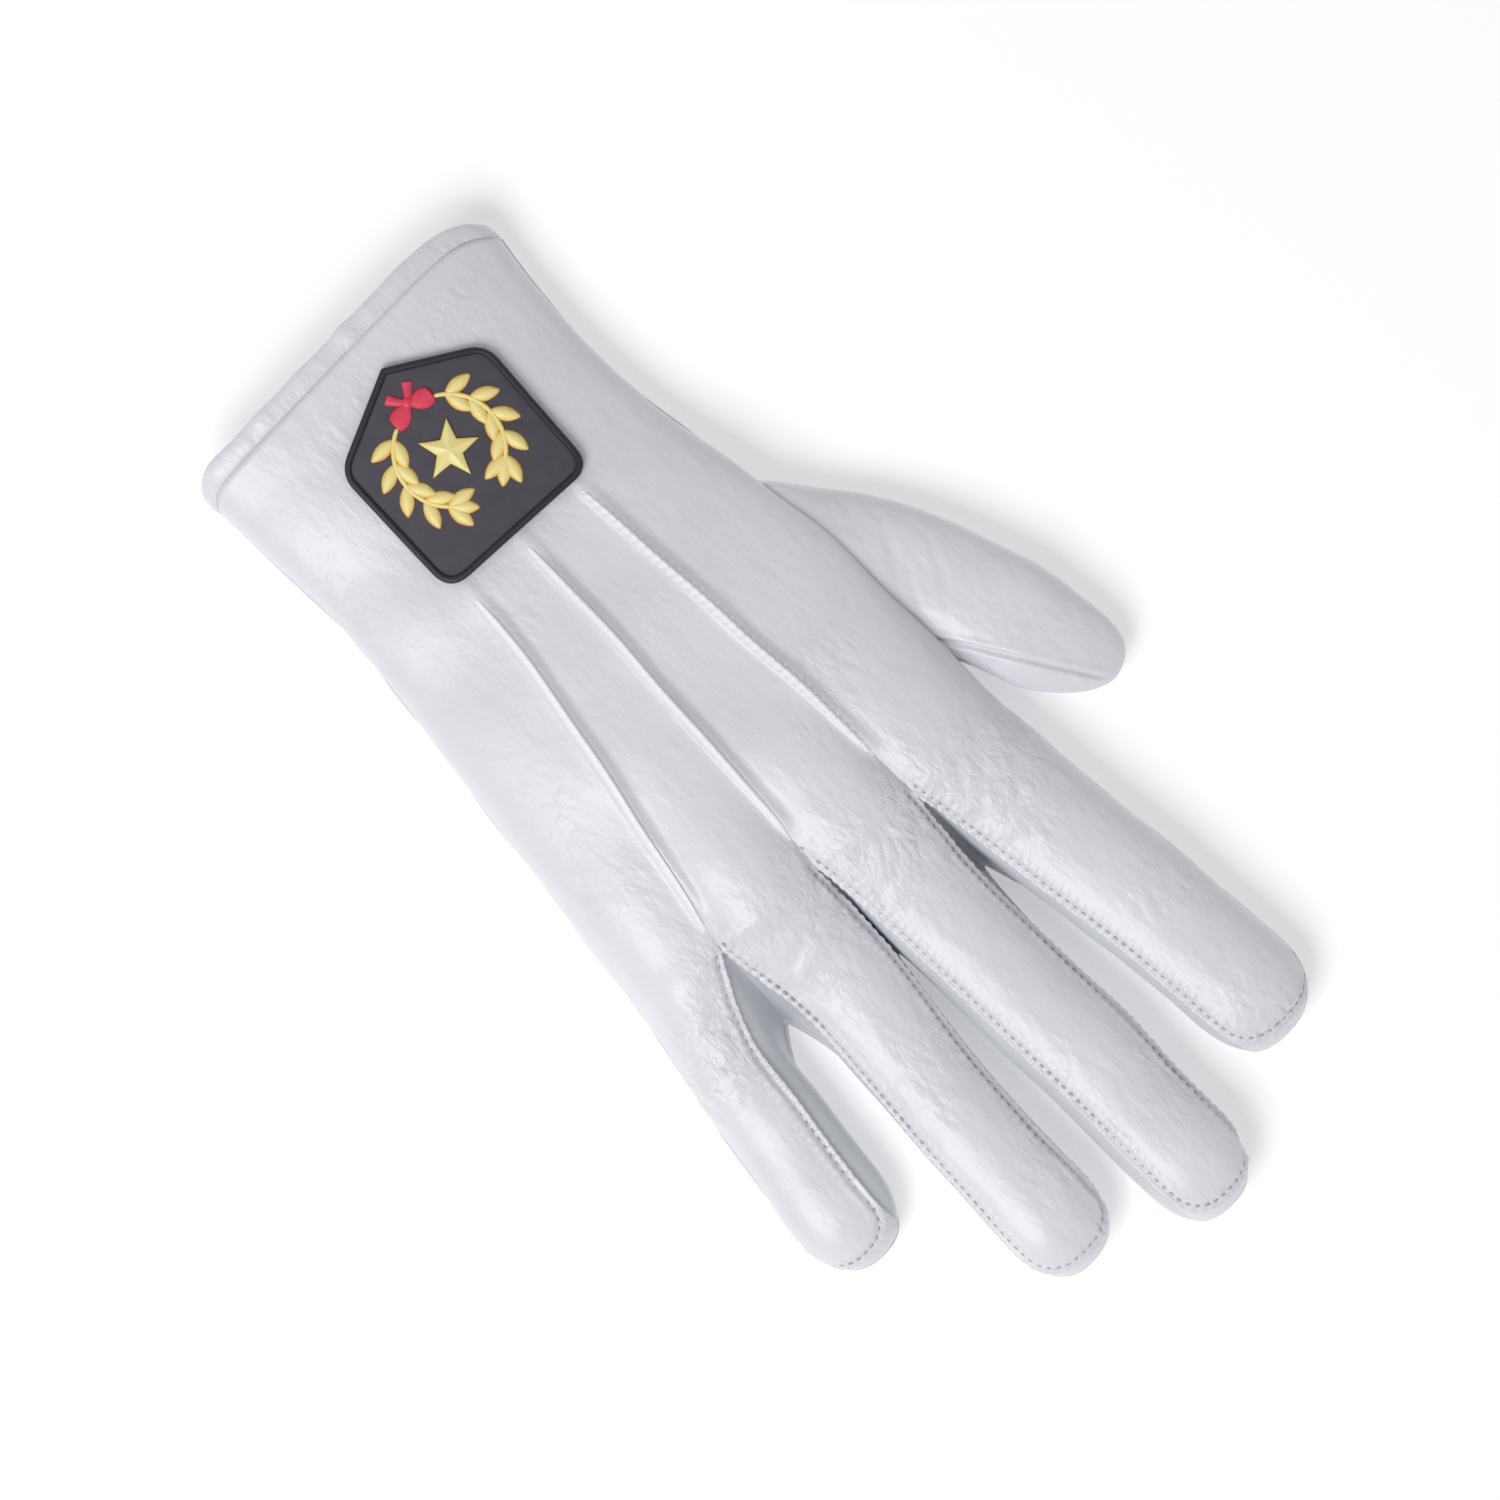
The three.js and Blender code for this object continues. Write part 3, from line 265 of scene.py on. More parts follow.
# Creases of the leather on the back: ends as shares of the knuckle width and body length,
# bow, depth and breadth in millimetres
BACK_CREASES = table(
    ("x0", "y0", "x1", "y1", "bow", "depth", "breadth"),
    (-0.42, 0.585, -0.19, 0.6, -2, 0.57, 2.2),
    (-0.4, 0.62, -0.22, 0.65, 2, 0.42, 1.8),
    (-0.36, 0.56, -0.2, 0.635, 3, 0.47, 1.6),
    (-0.14, 0.58, 0.05, 0.575, 2, 0.57, 2.4),
    (-0.12, 0.61, 0.06, 0.63, -2, 0.38, 1.7),
    (0.1, 0.575, 0.33, 0.56, 3, 0.66, 2.2),
    (0.13, 0.6, 0.3, 0.615, -2, 0.53, 1.7),
    (0.16, 0.635, 0.29, 0.6, 2, 0.42, 1.5),
    (0.38, 0.57, 0.56, 0.6, 2, 0.47, 2),
    (0.42, 0.62, 0.57, 0.64, -1, 0.38, 1.6),
    (0.3, 0.53, 0.55, 0.5, 4, 0.47, 4),
    (-0.4, 0.5, -0.2, 0.53, 3, 0.47, 4),
    (-0.1, 0.52, 0.08, 0.5, 2, 0.38, 4),
)

THUMB_CREASES = table(
    tuple(BACK_CREASES),
    (-0.55, 0.39, -0.43, 0.47, 1, 0.4, 1.5),
    (-0.53, 0.43, -0.44, 0.495, -1, 0.35, 1.3),
    (-0.58, 0.44, -0.48, 0.5, 1, 0.25, 1.6),
)

# Corners of the plain seam along the thumb
THUMB_SEAM = np.array([(-42, 131), (-49, 141.5), (-55, 151.5), (-61, 161.5), (-65, 168)]) * MM

# Corners of the badge as shares of its width and length, with their radius in millimetres
BADGE_CORNERS = (
    (-0.02, -0.5, 0.6),
    (0.5, -0.26, 4.5),
    (0.485, 0.5, 5.8),
    (-0.485, 0.5, 5.2),
    (-0.5, -0.26, 4.2),
)
BADGE_MIDDLE = (-0.0115, 0.116)
BADGE_TURN = math.radians(-4)

# Roughness, noise scale and bump of the plain finishes
FINISHES = {
    "thread": (0.7, 900, 0.05 * MM),
    "badge_field": (0.6, 260, 0.06 * MM),
    "badge_rim": (0.5, 260, 0.04 * MM),
    "red": (0.45, 420, 0.04 * MM),
}


def mix(a, b, share):
    """Straight line from a to b."""
    return a + (b - a) * share


def smooth(low, high, value):
    """Smooth step: 3t squared less 2t cubed, with t from 0 at low to 1 at high."""
    t = np.clip((value - low) / (high - low), 0, 1)
    return t * t * (3 - 2 * t)


def bent(value, fullness):
    """Sign of the value times its size to the power 2 / fullness, for squarer sections."""
    return np.sign(value) * np.abs(value) ** (2 / fullness)


def arch(share, fullness):
    """Quarter of a full curve: (1 - share^fullness)^(1 / fullness)."""
    reach = np.clip(np.abs(share), 0, 1)
    return (1 - reach**fullness) ** (1 / fullness)


def fading(share):
    """Falls from 1 at a finger's root to 0 at the end of its web, as a square."""
    return np.clip(1 - share / WEB_FADE, 0, 1) ** 2


def bell(distance, breadth):
    """Bell curve, 1 in the middle: e to the minus square of distance over breadth."""
    return np.exp(-((distance / breadth) ** 2))


def share_between(x, left, right):
    """Place of x between two lines, from -1 at the left one to 1 at the right one."""
    return np.clip(2 * (x - left) / (right - left) - 1, -1, 1)


def stack(x, y, z):
    """Joins three arrays of coordinates into one array of points."""
    return np.stack(np.broadcast_arrays(x, y, z), axis=-1).astype(float)


def unit(vectors):
    """Vectors divided by their lengths."""
    return vectors / np.maximum(np.linalg.norm(vectors, axis=-1, keepdims=True), 1e-12)


def column_at(rows, column, at):
    """Cubic through one column of a table; the slope at each row is the rise between its
    neighbours divided by their distance."""
    places, values = rows["at"], rows[column]
    last = len(places) - 1
    index = np.arange(last + 1)
    before = np.maximum(index - 1, 0)
    after = np.minimum(index + 1, last)
    slopes = (values[after] - values[before]) / (places[after] - places[before])
    row = np.clip(np.searchsorted(places, at) - 1, 0, last - 1)
    span = places[row + 1] - places[row]
    t = np.clip((at - places[row]) / span, 0, 1)
    square = t * t
    cube = square * t
    start = (2 * cube - 3 * square + 1) * values[row]
    start = start + (cube - 2 * square + t) * span * slopes[row]
    end = (3 * square - 2 * cube) * values[row + 1] + (cube - square) * span * slopes[row + 1]
    return start + end


class Pattern:
    """Curves and surfaces of the glove, measured from the hem line at the middle of the cuff."""

    def __init__(self, sizes):
        self.length = sizes.body_length
        self.width = sizes.knuckle_width
        self.height = sizes.hand_height
        self.leather = sizes.leather
        self.tip_length = TIP_LENGTH * self.length
        self.badge_width = sizes.badge_width
        self.badge_length = sizes.badge_length
        self.badge_thickness = sizes.badge_thickness

    def across(self, column, y):
        """Place of one of the hand's lines across, at y."""
        return column_at(HAND, column, y / self.length) * self.width

    def tall(self, column, y):
        """Height of one of the hand's lines, at y."""
        return column_at(HAND, column, y / self.length) * self.height

    def drawn_back(self, share, y):
        """How far the cuff's section is drawn back: a high power of the share across, which
        fades as a square along the cuff."""
        fade = np.clip(1 - y / (HEM_REACH * self.length), 0, 1) ** 2
        thumb_side, little_side = (draw * np.abs(share) ** power for draw, power in CUFF_DRAW)
        return np.where(share < 0, thumb_side, little_side) * fade

    def root(self, index):
        """Where a finger's sections start along the glove."""
        return LINES[index]["top"] * self.length

    def tip(self, index):
        """Where a finger ends along the glove."""
        return FINGERS[index]["reach"] * self.length

    def section(self, index, y):
        """Middle, half width, centre height, half height and seam share of a finger at y; the
        tip closes by an arch of the share of its length."""
        finger = FINGERS[index]
        tip = self.tip(index)
        at = np.clip((y - self.root(index)) / (tip - self.root(index)), 0, 1)
        tip_share = np.clip((y - tip + self.tip_length) / self.tip_length, 0, 1)
        shrink = arch(tip_share, TIP_FULLNESS)
        tall = column_at(finger["rows"], "tall", at) * finger["full"] * self.height
        middle = column_at(finger["rows"], "middle", at) * self.width
        half = column_at(finger["rows"], "half", at) * self.width * shrink
        seam_share = 1 - np.minimum(tip_share / GUSSET_END, 1) ** 4
        return middle, half, tall / 2, tall / 2 * shrink, seam_share

    def on_finger(self, index, y, degrees):
        """Superellipse section of a finger at y, at an angle round it."""
        middle, half, centre, rise, _ = self.section(index, y)
        angle = np.radians(degrees)
        sine = np.sin(angle)
        fullness = np.where(sine < 0, UNDER_FULLNESS, TOP_FULLNESS)
        x = middle + half * bent(np.cos(angle), fullness)
        z = centre + rise * bent(sine, fullness)
        return stack(x, y, np.maximum(z, 0))

    def seam_angle(self, index, y, name):
        """Angle of a seam, drawn to its own side of the finger at the tip."""
        side = SEAM_SIDES[name]
        angle = FINGERS[index][name]
        if angle != side:
            angle += math.copysign(SEAM_REACH, side - angle)
        return mix(side, angle, self.section(index, y)[4])

    def outer_edge(self, line, y):
        """Side seam of the hand, which goes on along the outer finger's side."""
        index, side, seam, share = OUTER[line]
        column, root = LINES[line]["column"], LINES[line]["top"] * self.length
        low = np.minimum(y, root)
        hand_y = y + self.drawn_back(np.float64(share), y)
        hand = stack(self.across(column, low), hand_y, self.tall(seam, low))
        at_root = stack(self.across(column, root), root, self.tall(seam, root))
        drift = at_root - self.on_finger(index, np.float64(root), side)
        fade = fading((y - root) / (self.tip(index) - root))[..., None]
        upper = self.on_finger(index, y, side) + drift * fade
        return np.where((y <= root)[..., None], hand, upper)

    def share_across(self, x, y):
        """Place across the back between its side seams."""
        return share_between(x, self.across("left", y), self.across("right", y))

    def dome(self, x, y):
        """Height of the back: an arch of the share across, from side seam to side seam."""
        share = self.share_across(x, y)
        edge = np.where(share < 0, self.tall("left_seam", y), self.tall("right_seam", y))
        return edge + (self.tall("top", y) - edge) * arch(share, BACK_FULLNESS)

    def on_back(self, x, y):
        """Point of the back's dome."""
        drawn = self.drawn_back(self.share_across(x, y), y)
        return stack(x, y + drawn, self.dome(x, y))

    def on_palm(self, x, y):
        """Point of the palm's bowl: flat in the middle, turned up to the seams by an arch."""
        left, right = self.outer_edge(0, y), self.outer_edge(4, y)
        share = share_between(x, left[..., 0], right[..., 0])
        edge = np.where(share < 0, left[..., 2], right[..., 2])
        lift = 1 - arch(share, PALM_FULLNESS)
        z = edge * np.maximum(0, (lift - PALM_FLAT) / (1 - PALM_FLAT))
        return stack(x, y + self.drawn_back(share, y), z)

    def crotch(self, line, under):
        """Crotch between two fingers on the back or the palm, or the outer edge there."""
        row = LINES[line]
        y = np.float64(row["under" if under else "top"] * self.length)
        if line in OUTER:
            return self.outer_edge(line, y)
        if under:
            return np.array([row["across"] * self.width, y, UNDER_CROTCH_HEIGHT * self.height])
        return self.on_back(self.across(row["column"], y), y)

    def line_across(self, line, y, under):
        """Place of a dividing line; on the palm it runs on past the crotch of the back."""
        row = LINES[line]
        if not under:
            return self.across(row["column"], y)
        if line in OUTER:
            return self.outer_edge(line, y)[..., 0]
        top, low = row["top"] * self.length, row["under"] * self.length
        past = np.clip((y - top) / (low - top), 0, 1)
        return mix(self.across(row["column"], np.minimum(y, top)), row["across"] * self.width, past)

    def on_tongue(self, index, along, share, under):
        """Finger's part of the back or the palm: its section between two seam angles, drawn
        to the crotches by a square that fades along the web."""
        start, end = self.crotch(index, under), self.crotch(index + 1, under)
        names = ("under_left", "under_right") if under else ("top_left", "top_right")

        def place(part, y):
            left = self.seam_angle(index, y, names[0])
            right = self.seam_angle(index, y, names[1])
            return self.on_finger(index, y, mix(left, right, part))

        tip = self.tip(index)
        y = mix(mix(start[1], tip, along), mix(end[1], tip, along), share)
        fade = fading(along)[..., None]
        part = np.asarray(share, float)[..., None]
        left_drift = start - place(0, start[1])
        right_drift = end - place(1, end[1])
        point = place(share, y) + fade * ((1 - part) * left_drift + part * right_drift)
        point[..., 2] = np.maximum(point[..., 2], 0)
        return point

    def on_body(self, index, along, share, under):
        """Strip of the hand between two dividing lines, blended by a smooth step into the
        swell of the finger's root near the crotches."""
        start, end = self.crotch(index, under), self.crotch(index + 1, under)
        left_y, right_y = start[1] * along, end[1] * along
        y = mix(left_y, right_y, share)
        quarter = share * math.pi / 2
        spread = (1 - np.cos(quarter), share, share, np.sin(quarter))[index]
        left_x = self.line_across(index, y, under)
        right_x = self.line_across(index + 1, y, under)
        surface = self.on_palm if under else self.on_back
        point = surface(mix(left_x, right_x, spread), y)
        blend = smooth(PALM_BLEND_START if under else KNUCKLE_START, 1, along)[..., None]

        def edge(line, edge_y, crotch):
            root = surface(self.line_across(line, crotch[1], under), crotch[1])
            return surface(self.line_across(line, edge_y, under), edge_y) + blend * (crotch - root)

        left_edge, right_edge = edge(index, left_y, start), edge(index + 1, right_y, end)
        part = np.asarray(share, float)[..., None]
        swell = self.on_tongue(index, np.zeros_like(along), share, under) - mix(start, end, part)
        rounded = mix(left_edge, right_edge, part) + swell
        point = mix(point, rounded, blend)
        point[..., 2] = np.maximum(point[..., 2], 0)
        point = np.where(part == 0, left_edge, point)
        return np.where(part == 1, right_edge, point)

    def on_gusset(self, index, right, along, share):
        """Side of a finger from the back's seam to the palm's, reaching a few degrees under
        both, drawn to the web between the crotches by a square that fades along it."""
        line = index + 1 if right else index
        top_crotch, under_crotch = self.crotch(line, False), self.crotch(line, True)
        side = "right" if right else "left"

        def place(y):
            top = self.seam_angle(index, y, "top_" + side)
            under = self.seam_angle(index, y, "under_" + side) - (360 if right else 0)
            more = math.copysign(GUSSET_REACH, -1 if right else 1) * smooth(0.1, 0.4, along)
            top, under = top - more, under + more
            return self.on_finger(index, y, mix(top, under, share))

        root_y = mix(top_crotch[1], under_crotch[1], share)
        y = mix(root_y, self.tip(index), along)
        web = mix(top_crotch, under_crotch, share[..., None])
        return place(y) + (web - place(root_y)) * fading(along)[..., None]

    def thumb_frame(self, at):
        """Axis place, lean, half width and half height of the thumb along its length."""
        shrink = arch(np.clip((at - THUMB_TIP) / (1 - THUMB_TIP), 0, 1), TIP_FULLNESS)
        tall = column_at(THUMB, "tall", at) * self.height * THUMB_TALL
        return {
            "x": column_at(THUMB, "across", at) * self.width,
            "y": column_at(THUMB, "along", at) * self.length,
            "lean": np.radians(column_at(THUMB, "lean", at)),
            "half": column_at(THUMB, "half", at) * self.width * THUMB_HALF * shrink,
            "centre": self.leather / 3 + tall / 2,
            "rise": tall / 2 * shrink,
        }

    def on_thumb(self, at, degrees):
        """Superellipse across the thumb's leaning axis, widened by a bell where its crotch
        meets the hand, and raised by a bell to the height of the hand's side seam along it."""
        axis = self.thumb_frame(at)
        angle = np.radians(degrees)
        web = THUMB_WEB * bell(at - THUMB_CROTCH, 0.12) * np.maximum(np.cos(angle), 0)
        side = axis["half"] * bent(np.cos(angle), THUMB_FULLNESS) + web
        x = axis["x"] + side * np.cos(axis["lean"])
        y = axis["y"] + side * np.sin(axis["lean"])
        z = axis["centre"] + axis["rise"] * bent(np.sin(angle), THUMB_FULLNESS)
        beside = bell(x - self.across("left", y), THUMB_EDGE) * smooth(0, 0.5, np.sin(angle))
        return stack(x, y, mix(z, np.maximum(z, self.tall("left_seam", y)), beside))

    def inside_thumb(self, points, inset):
        """Whether points lie in the thumb's bore: in the section whose plane is nearest."""
        axis = self.thumb_frame(np.linspace(0, 1, 60))
        dx = points[..., 0, None] - axis["x"]
        dy = points[..., 1, None] - axis["y"]
        side = dx * np.cos(axis["lean"]) + dy * np.sin(axis["lean"])
        off = np.abs(dy * np.cos(axis["lean"]) - dx * np.sin(axis["lean"]))
        up = points[..., 2, None] - axis["centre"]
        reach = np.abs(side / np.maximum(axis["half"] - inset, 1e-5)) ** BORE_FULLNESS
        reach += np.abs(up / np.maximum(axis["rise"] - inset, 1e-5)) ** BORE_FULLNESS
        nearest = np.argmin(off, axis=-1)[..., None]
        near = np.take_along_axis(reach, nearest, -1)[..., 0]
        return (near < 1) & (np.take_along_axis(off, nearest, -1)[..., 0] < 3 * MM)

    def inside_hand(self, points, slack):
        """Whether points lie between the palm and the back, and inside the side seams."""
        x, y = points[..., 0], points[..., 1]
        inside = (x > self.across("left", y) + slack) & (x < self.across("right", y) - slack)
        inside &= points[..., 2] < self.dome(x, y) - slack
        inside &= points[..., 2] > self.on_palm(x, y)[..., 2] + slack
        return inside & (y < HAND_END * self.length)

    def on_badge(self, across, along, level):
        """Place on the badge, laid over the back's dome and turned about its middle."""
        cos, sin = math.cos(BADGE_TURN), math.sin(BADGE_TURN)
        x = BADGE_MIDDLE[0] * self.width + across * cos - along * sin
        y = BADGE_MIDDLE[1] * self.length + across * sin + along * cos
        return stack(x, y, self.dome(x, y) + BADGE_LIFT + level)


def lengths(path):
    """Length along a path at each of its points."""
    steps = np.linalg.norm(np.diff(path, axis=0), axis=1)
    return np.concatenate([[0], np.cumsum(steps)])


def between(places, known, values):
    """Values at new places, each column on straight lines between its known places."""
    return np.stack([np.interp(places, known, column) for column in values.T], -1)


def beside_edge(place, edge, step, inset):
    """Share across a strip at an inset from one edge, by the slope of the surface there."""
    slope = np.linalg.norm(place(edge + step) - place(edge), axis=-1)
    return edge + step * inset / slope


def near_edge(pattern, index, right, inset, count=300):
    """Line on a finger's back at a steady inset from one seam, from the crotch to the tip's
    start. Returns points and normals."""
    tip = pattern.tip(index)
    start = pattern.crotch(index + 1 if right else index, False)[1]
    rows = np.linspace(0, 1, count) * (tip - 0.8 * pattern.tip_length - start) / (tip - start)

    def place(share):
        return pattern.on_tongue(index, rows, share, False)

    edge, step = (1.0, -EDGE_STEP) if right else (0.0, EDGE_STEP)
    share = beside_edge(place, np.full(count, edge), step, inset)
    points = place(share)
    across = place(share + EDGE_STEP / 2) - points
    return points, unit(np.cross(across, np.gradient(points, axis=0)))


def seam_path(pattern, index, inset):
    """Row of stitches over a finger: up one side at a steady inset from the panel's edge, round
    the tip on a half superellipse, and down the other side. Returns points and normals."""
    left, left_normals = near_edge(pattern, index, False, inset)
    right, right_normals = near_edge(pattern, index, True, inset)
    phi = np.linspace(0, math.pi, 200)[1:-1]
    low, high = mix(right[-1], left[-1], 0.5), pattern.tip(index) - TIP_STITCH_INSET
    x = low[0] + (right[-1, 0] - left[-1, 0]) / 2 * bent(np.cos(phi), ROW_FULLNESS)
    y = mix(right[-1, 1], left[-1, 1], phi / math.pi)
    y = mix(y, high, bent(np.sin(phi), ROW_FULLNESS))
    middle, half, centre, rise, _ = pattern.section(index, y)
    share = np.clip((x - middle) / half, -0.999, 0.999)
    top = stack(x, y, centre + rise * arch(share, TOP_FULLNESS))
    parts = [(top, unit(top - stack(middle, y - 3 * MM, centre)))]
    has_left, has_right = FINGERS[index]["stitched"]
    if has_right:
        parts.insert(0, (right, right_normals))
    if has_left:
        parts.append((left[::-1], left_normals[::-1]))
    points, normals = zip(*parts)
    return np.concatenate(points), np.concatenate(normals)


def on_path(points, path):
    """Distance of each point to the nearest place of a finely divided path, and the length
    along the path there."""
    length = lengths(path)
    flat = points.reshape(-1, points.shape[-1])
    distance, place = np.empty((2, len(flat)))
    for first in range(0, len(flat), BATCH):
        batch = slice(first, first + BATCH)
        apart = np.linalg.norm(flat[batch, None] - path[None], axis=2)
        nearest = np.argmin(apart, axis=1)
        distance[batch] = apart[np.arange(len(nearest)), nearest]
        place[batch] = length[nearest]
    return distance.reshape(points.shape[:-1]), place.reshape(points.shape[:-1])


def seam_relief(distance, along, pitch, depth):
    """Groove along a row of stitches: a bell across it, deeper at each stitch by a squared
    cosine of the length along, beside a low roll that puckers up between the stitches."""
    dimple = np.cos(math.pi * along / pitch) ** 2
    groove = -depth * (0.4 + 0.7 * dimple) * bell(distance, 0.6 * MM)
    return groove + depth * (0.8 - 0.55 * dimple) * bell(distance - 1.25 * MM, 0.65 * MM)


def tuck_share(y, length):
    """Share along a tuck, and its taper to both ends."""
    share = (y / length - POINT_START) / (POINT_END - POINT_START)
    return share, np.where((share > 0) & (share < 1), arch(2 * share - 1, 5), 0)


def tuck_line(pattern, line, y):
    """Place across of a tuck: its dividing line with a faint sway of two sine waves."""
    sway = np.sin(y / (9 * MM) + line) + 0.7 * np.sin(y / (4.3 * MM) + 2 * line)
    return pattern.across(LINES[line]["column"], y) + 0.12 * MM * sway


def tuck_relief(pattern, points):
    """Leather drawn up to the tucks: on the thumb's side a smooth step over a few millimetres
    with a low bell beyond it, on the other side a narrow bell. It fades past both ends and
    puffs up where a tuck starts."""
    x, y = points[..., 0], points[..., 1]
    relief = np.zeros(points.shape[:-1])
    share, _ = tuck_share(y, pattern.length)
    fade = smooth(-0.1, 0.12, share) * smooth(1.04, 0.93, share)
    for line in TUCKS:
        side = x - tuck_line(pattern, line, y)
        flank = FLANK_RISE * smooth(FLANK_START, FLANK_END, side)
        flank = flank + 0.25 * MM * bell(side, 7 * MM)
        rise = np.where(side < 0, flank, FAR_RISE * bell(side, 1.1 * MM))
        puff = 0.55 * MM * bell(share, 0.035) * bell(side + 2 * MM, 4.5 * MM)
        relief = np.maximum(relief, fade * rise + puff)
    return relief


def crease_relief(points, creases, width, length):
    """Creases: for each, a bell across a bowed line with a low lip on each side, which tapers
    to both ends as a squared sine."""
    relief = np.zeros(points.shape[:-1])
    for x0, y0, x1, y1, bow, depth, breadth in zip(*creases.values()):
        start = np.array([x0 * width, y0 * length])
        reach = np.array([x1 * width, y1 * length]) - start
        size = np.linalg.norm(reach)
        offset = points[..., :2] - start
        t = (offset @ reach) / size**2
        arc = np.sin(math.pi * np.clip(t, 0, 1))
        side = (offset @ np.array([-reach[1], reach[0]])) / size - bow * MM * arc
        valley = -bell(side, breadth * MM) + 0.6 * bell(side, 2 * breadth * MM)
        relief += depth * MM * np.where((t > 0) & (t < 1), arc**2, 0) * valley
    return relief


def seam_line_relief(points):
    """Plain seam along the thumb: a narrow groove under a line through its corners, with a low
    roll on both sides."""
    corner = np.arange(len(THUMB_SEAM))
    path = between(np.linspace(0, corner[-1], 300), corner, THUMB_SEAM)
    distance, place = on_path(points[..., :2], path)
    ends = smooth(0, 3 * MM, place) * smooth(place.max(), place.max() - 3 * MM, place)
    roll = 0.2 * MM * bell(distance - 1.1 * MM, 0.8 * MM)
    return ends * (roll - 0.9 * MM * bell(distance, 0.45 * MM))


def ripple(points, seed, size, depth):
    """Soft unevenness: the mean of a dozen sine waves of about one length in all directions."""
    random = np.random.default_rng(seed)
    count = 12
    headings = unit(random.normal(size=(count, 3)))
    waves = headings * (2 * math.pi / (size * random.uniform(0.7, 1.6, (count, 1))))
    phases = random.uniform(0, 2 * math.pi, count)
    return depth * np.sin(points @ waves.T + phases).mean(axis=-1) * 2


def crinkle_share(pattern, points):
    """How strongly the leather is crinkled: most at the fingers' roots and round the crotches,
    with patches that come and go over the back with a slow ripple."""
    share = points[..., 1] / pattern.length
    patches = np.clip(ripple(points, 31, 26 * MM, 1.2) - 0.1, 0, 0.5)
    crinkled = 0.75 * bell(share - 0.605, 0.045) + patches
    for line in TUCKS:
        apart = np.linalg.norm((points - pattern.crotch(line, False))[..., :2], axis=-1)
        crinkled = crinkled + 0.9 * bell(apart, 9 * MM)
    return (0.1 + crinkled) * smooth(0, 0.04, share)


def back_relief(pattern, points):
    """Unevenness of the back: a broad ripple that fades to the hem, and two short ripples as
    strong as the leather's crinkled share."""
    broad = ripple(points, 5, 26 * MM, 0.4 * MM) * smooth(0, 12 * MM, points[..., 1])
    fine = ripple(points * [1, 0.6, 1], 37, 3.2 * MM, 1) + ripple(points, 41, 5.5 * MM, 1)
    return broad + 0.16 * MM * fine * np.minimum(crinkle_share(pattern, points), 1.3)


def grid_faces(rows, columns, start=0, flipped=False):
    """Corners of the quads of a grid of points that is stored row by row."""
    first = start + np.arange(rows - 1)[:, None] * columns + np.arange(columns - 1)[None, :]
    corners = [first, first + 1, first + columns + 1, first + columns]
    quads = np.stack(corners, axis=-1).reshape(-1, 4)
    return quads[:, ::-1] if flipped else quads


def read(elements, name, width):
    """One property of all of a mesh's elements, as an array with this many columns."""
    values = np.empty(len(elements) * width)
    elements.foreach_get(name, values)
    return values.reshape(-1, width)


def add_object(name, data):
    """New object in the scene's own collection."""
    made = bpy.data.objects.new(name, data)
    bpy.context.scene.collection.objects.link(made)
    return made


def make_piece(name, grids, kind, replaced, flipped=True, drop=None,
               wall=0.0):
    """Welds grids into one smooth mesh. Each grid holds points, a relief by which every corner
    moves along its normal, and a share that the finish reads. Faces whose middles are to drop
    are left out. The piece gets a wall where one is given, and rides on the glove."""
    points, quads, layers = [], [], {"relief": [], "share": []}
    start = 0
    for surface, *values in grids:
        rows, columns = surface.shape[:2]
        quads.append(grid_faces(rows, columns, start, flipped))
        points.append(surface.reshape(-1, 3))
        for layer, value in zip(layers, (*values, 0.0)):
            layers[layer].append(np.broadcast_to(value, surface.shape[:2]).reshape(-1))
        start += rows * columns
    points = np.concatenate(points)
    quads = np.concatenate(quads)
    if drop is not None:
        quads = quads[~drop(points[quads].mean(axis=1))]
    mesh = bpy.data.meshes.new(name)
    mesh.from_pydata(points, [], quads)
    for layer, values in layers.items():
        made = mesh.attributes.new(layer, "FLOAT", "POINT")
        made.data.foreach_set("value", np.concatenate(values).astype(np.float32))
    edit = bmesh.new()
    edit.from_mesh(mesh)
    loose = [corner for corner in edit.verts if not corner.link_faces]
    bmesh.ops.delete(edit, geom=loose, context="VERTS")
    bmesh.ops.remove_doubles(edit, verts=edit.verts, dist=0.005 * MM)
    bmesh.ops.dissolve_degenerate(edit, edges=edit.edges, dist=0.001 * MM)
    edit.to_mesh(mesh)
    edit.free()
    if not mesh.vertices:
        raise RuntimeError(f"{name} has no surface")
    moved = read(mesh.attributes["relief"].data, "value", 1)
    normals = read(mesh.vertex_normals, "vector", 3)
    places = read(mesh.vertices, "co", 3) + normals * moved + HEM_MIDDLE
    places[:, 2] = np.maximum(places[:, 2], 0)
    mesh.vertices.foreach_set("co", places.reshape(-1))
    mesh.shade_smooth()
    mesh.update()
    mesh.materials.append(glove_material(kind))
    piece = add_object(name, mesh)
    if wall:
        solid = piece.modifiers.new("leather_wall", "SOLIDIFY")
        solid.thickness = wall
        solid.offset = -1
    if replaced:
        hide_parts(*replaced)
    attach(piece, "root")


def round_steps(start, count):
    """Shares from a start to 1, by even angles round a tip."""
    return mix(start, 1, np.sin(np.arange(1, count + 1) / count * math.pi / 2))


def finger_rows(index, under, finger_steps, tip_steps):
    """Shares along a finger: even steps, then steps round the tip."""
    line = LINES[index]["under" if under else "top"]
    tip = FINGERS[index]["reach"]
    straight = (tip - TIP_LENGTH - line) / (tip - line)
    even = straight * np.arange(1, finger_steps + 1) / finger_steps
    return np.concatenate([even, round_steps(straight, tip_steps)])


